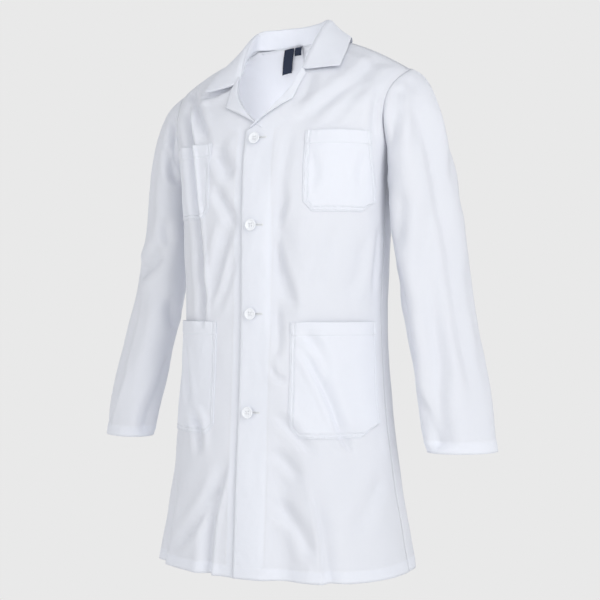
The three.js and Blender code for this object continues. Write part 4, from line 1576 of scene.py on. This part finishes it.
def blend_skirt(obj):
    """Bakes a piece of the left front's placement into its mesh."""
    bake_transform(obj)


def blend_shoulder(obj):
    """Bakes an upper sleeve's placement into its mesh."""
    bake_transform(obj)


def blend_elbow(obj):
    """Bakes a lower sleeve's placement into its mesh."""
    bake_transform(obj)


def dress_fronts():
    for piece in (front_panel("front_left_cloth", 1), facing("facing_left_cloth", 1, LAYER)):
        node = piece.name.removesuffix("_cloth")
        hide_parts(node, f"{node}_skirt")
        blend_skirt(piece)
    ride_and_replace(front_panel("front_right_cloth", -1), "torso", "front_right")
    ride_and_replace(facing("facing_right_cloth", -1, -LAYER), "torso", "facing_right")


def dress_backs():
    ride_and_replace(back_panel("back_left_cloth", 1), "torso", "back_left")
    ride_and_replace(back_panel("back_right_cloth", -1), "torso", "back_right")


# kind, size of the cut lower corners, how far the mouth stands open
POCKETS = (("chest", 17, 1.5), ("hip", 19, 2.5))


def dress_pockets():
    for label_name, hand in HANDS:
        rows = []
        for kind, corner, gape in POCKETS:
            pocket = Pocket(f"{kind}_pocket_{label_name}", hand, corner, gape)
            ride_and_replace(pocket.cloth(), "torso", pocket.node)
            rows += pocket.stitches()
        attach(stitching(f"pocket_stitching_{label_name}", rows), "torso")


def cuff_stitches(points):
    """One row round the hem of a sleeve, read from the sleeve's own grid."""
    low = int(np.argmin(np.abs(points[:, 0, 2] - CUFF_Z - HEM + 1.5)))
    line = np.concatenate([points[low], points[low, :1]])
    centre = points[low].mean(0)
    return line, unit((line - centre) * np.array([1, 1, 0]))


def dress_sleeves():
    for label_name, hand in HANDS:
        upper, lower, points = sleeves(hand, label_name)
        above, below = f"{label_name}_upper_sleeve", f"{label_name}_lower_sleeve"
        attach(stitching(f"cuff_stitching_{label_name}", [cuff_stitches(points)]), below)
        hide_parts(f"sleeve_upper_{label_name}")
        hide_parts(f"sleeve_lower_{label_name}")
        blend_shoulder(upper)
        blend_elbow(lower)


def dress_collar():
    for label_name, hand in HANDS:
        ride_and_replace(lapel(f"lapel_{label_name}_cloth", hand), "torso", f"lapel_{label_name}")
        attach(stitching(f"lapel_stitching_{label_name}", [lapel_stitches(hand)]), "torso")
    ride_and_replace(collar_stand(), "torso", "collar_stand")
    ride_and_replace(collar_leaf(), "torso", "top_collar", "collar_interlining", "under_collar")
    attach(stitching("collar_stitching", collar_stitches()), "torso")


def dress_buttons():
    for index in range(1, 5):
        ride_and_replace(button(index), f"button_{index}", f"button_{index}")
        ride_and_replace(button_thread(index), f"button_{index}", f"button_thread_{index}")
        ride_and_replace(buttonhole(index), "torso", f"buttonhole_stitch_{index}")
        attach(buttonhole_slit(index), "torso")


def dress_labels():
    """The labels, built where they hang from the back neck seam and baked in place."""
    for name in ("neck_label", "size_tab"):
        piece = label(f"{name}_cloth", name)
        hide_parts(name)
        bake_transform(piece)


# ---------- stage, light and camera ----------


PAPER = (0.815, 0.815, 0.815)       # the even tone of the floor, the wall and all beyond them
SKY = (0.95, 0.97, 1.0)
SKY_STRENGTH = 0.42
CAMERA_TURN = math.radians(25)
# in metres: the floor's front edge and height, where it turns up, radius of the turn, top, half width
FLOOR_FRONT, FLOOR_Z, TURN_Y, TURN_RADIUS, WALL_TOP, HALF_WIDTH = -6.0, -0.5, 3.5, 2.0, 7.0, 9


def backdrop():
    """A pale floor that curves up into a wall far behind the coat."""
    profile = [(FLOOR_FRONT, FLOOR_Z), (TURN_Y, FLOOR_Z)]
    for angle in np.linspace(0, math.pi / 2, 13)[1:]:
        y, z = TURN_RADIUS * math.sin(angle), TURN_RADIUS * (1 - math.cos(angle))
        profile.append((TURN_Y + y, FLOOR_Z + z))
    profile.append((TURN_Y + TURN_RADIUS, WALL_TOP))
    verts = [(x, y, z) for y, z in profile for x in (-HALF_WIDTH, HALF_WIDTH)]
    tree = Nodes("pale_paper")
    paper = tree.finish(tree.add("ShaderNodeEmission", Color=PAPER).outputs[0])
    faces = grid_faces(len(profile), 2, 0, False, False).tolist()
    obj = new_object("backdrop", np.array(verts) / MM, faces, paper)
    obj.rotation_euler[2] = CAMERA_TURN


CAMERA_DISTANCE = 2.1
CAMERA_HEIGHT = 0.452
CAMERA_LENS, CAMERA_SENSOR = 72.4, 36
CAMERA_SHIFT = 0.024


def camera():
    """A long lens at the coat's middle height, level, from the coat's left of its front."""
    data = bpy.data.cameras.new("camera")
    data.lens = CAMERA_LENS
    data.sensor_width = CAMERA_SENSOR
    data.shift_x = CAMERA_SHIFT
    obj = bpy.data.objects.new("camera", data)
    bpy.context.scene.collection.objects.link(obj)
    back = Vector((math.sin(CAMERA_TURN), -math.cos(CAMERA_TURN), 0))
    obj.location = Vector((0, SHIFT_Y * MM, CAMERA_HEIGHT)) + back * CAMERA_DISTANCE
    obj.rotation_euler = (math.pi / 2, 0, CAMERA_TURN)
    bpy.context.scene.camera = obj


MIDDLE = Vector((0, 0, 0.5))
INSIDE = Vector((0, -0.02, 0.77))   # inside the neck, to light the inside of the back
INSIDE_AIM = Vector((0, 1, 0.15))
INSIDE_SIZE, INSIDE_POWER = (0.2, 0.07), 0.19
# name, degrees round from the front towards the coat's left, degrees up, metres, size, watts
LIGHTS = (
    ("key", 60, 12, 3.2, (1.6, 2.2), 44),
    ("front", 12, 10, 3.2, (1.4, 1.4), 12),
    ("top", 30, 62, 3.0, (1.4, 1.4), 11),
    ("fill", -40, 6, 3.2, (1.2, 1.8), 19),
    ("back", 205, 12, 3.2, (1.6, 2.0), 30),
)


def area_light(name, place, target, size, power):
    data = bpy.data.lights.new(name, "AREA")
    data.shape = "RECTANGLE"
    data.size, data.size_y = size
    data.energy = power
    obj = bpy.data.objects.new(name, data)
    bpy.context.scene.collection.objects.link(obj)
    obj.location = place
    obj.rotation_euler = (target - place).to_track_quat("-Z", "Y").to_euler()


def sky():
    """A dim even sky lights the coat, while the camera sees paper beyond the backdrop's edges."""
    world = bpy.data.worlds.new("studio")
    bpy.context.scene.world = world
    world.use_nodes = True
    nodes, links = world.node_tree.nodes, world.node_tree.links
    light = nodes["Background"]
    light.inputs["Color"].default_value = (*SKY, 1)
    light.inputs["Strength"].default_value = SKY_STRENGTH
    seen = nodes.new("ShaderNodeBackground")
    seen.inputs["Color"].default_value = (*PAPER, 1)
    mixed = nodes.new("ShaderNodeMixShader")
    by_camera = nodes.new("ShaderNodeLightPath").outputs["Is Camera Ray"]
    for socket, source in zip(mixed.inputs, (by_camera, light.outputs[0], seen.outputs[0])):
        links.new(source, socket)
    links.new(mixed.outputs[0], nodes["World Output"].inputs["Surface"])


def lights():
    sky()
    for name, turn, lift, distance, size, power in LIGHTS:
        turn, lift = math.radians(turn), math.radians(lift)
        flat = math.cos(lift)
        away = Vector((math.sin(turn) * flat, -math.cos(turn) * flat, math.sin(lift)))
        area_light(name, MIDDLE + distance * away, MIDDLE, size, power)
    area_light("inside", INSIDE, INSIDE + INSIDE_AIM, INSIDE_SIZE, INSIDE_POWER)
    bpy.context.scene.view_settings.view_transform = "Standard"


dress_fronts()
dress_backs()
dress_pockets()
dress_seams()
dress_sleeves()
dress_collar()
dress_buttons()
dress_labels()
backdrop()
lights()
camera()
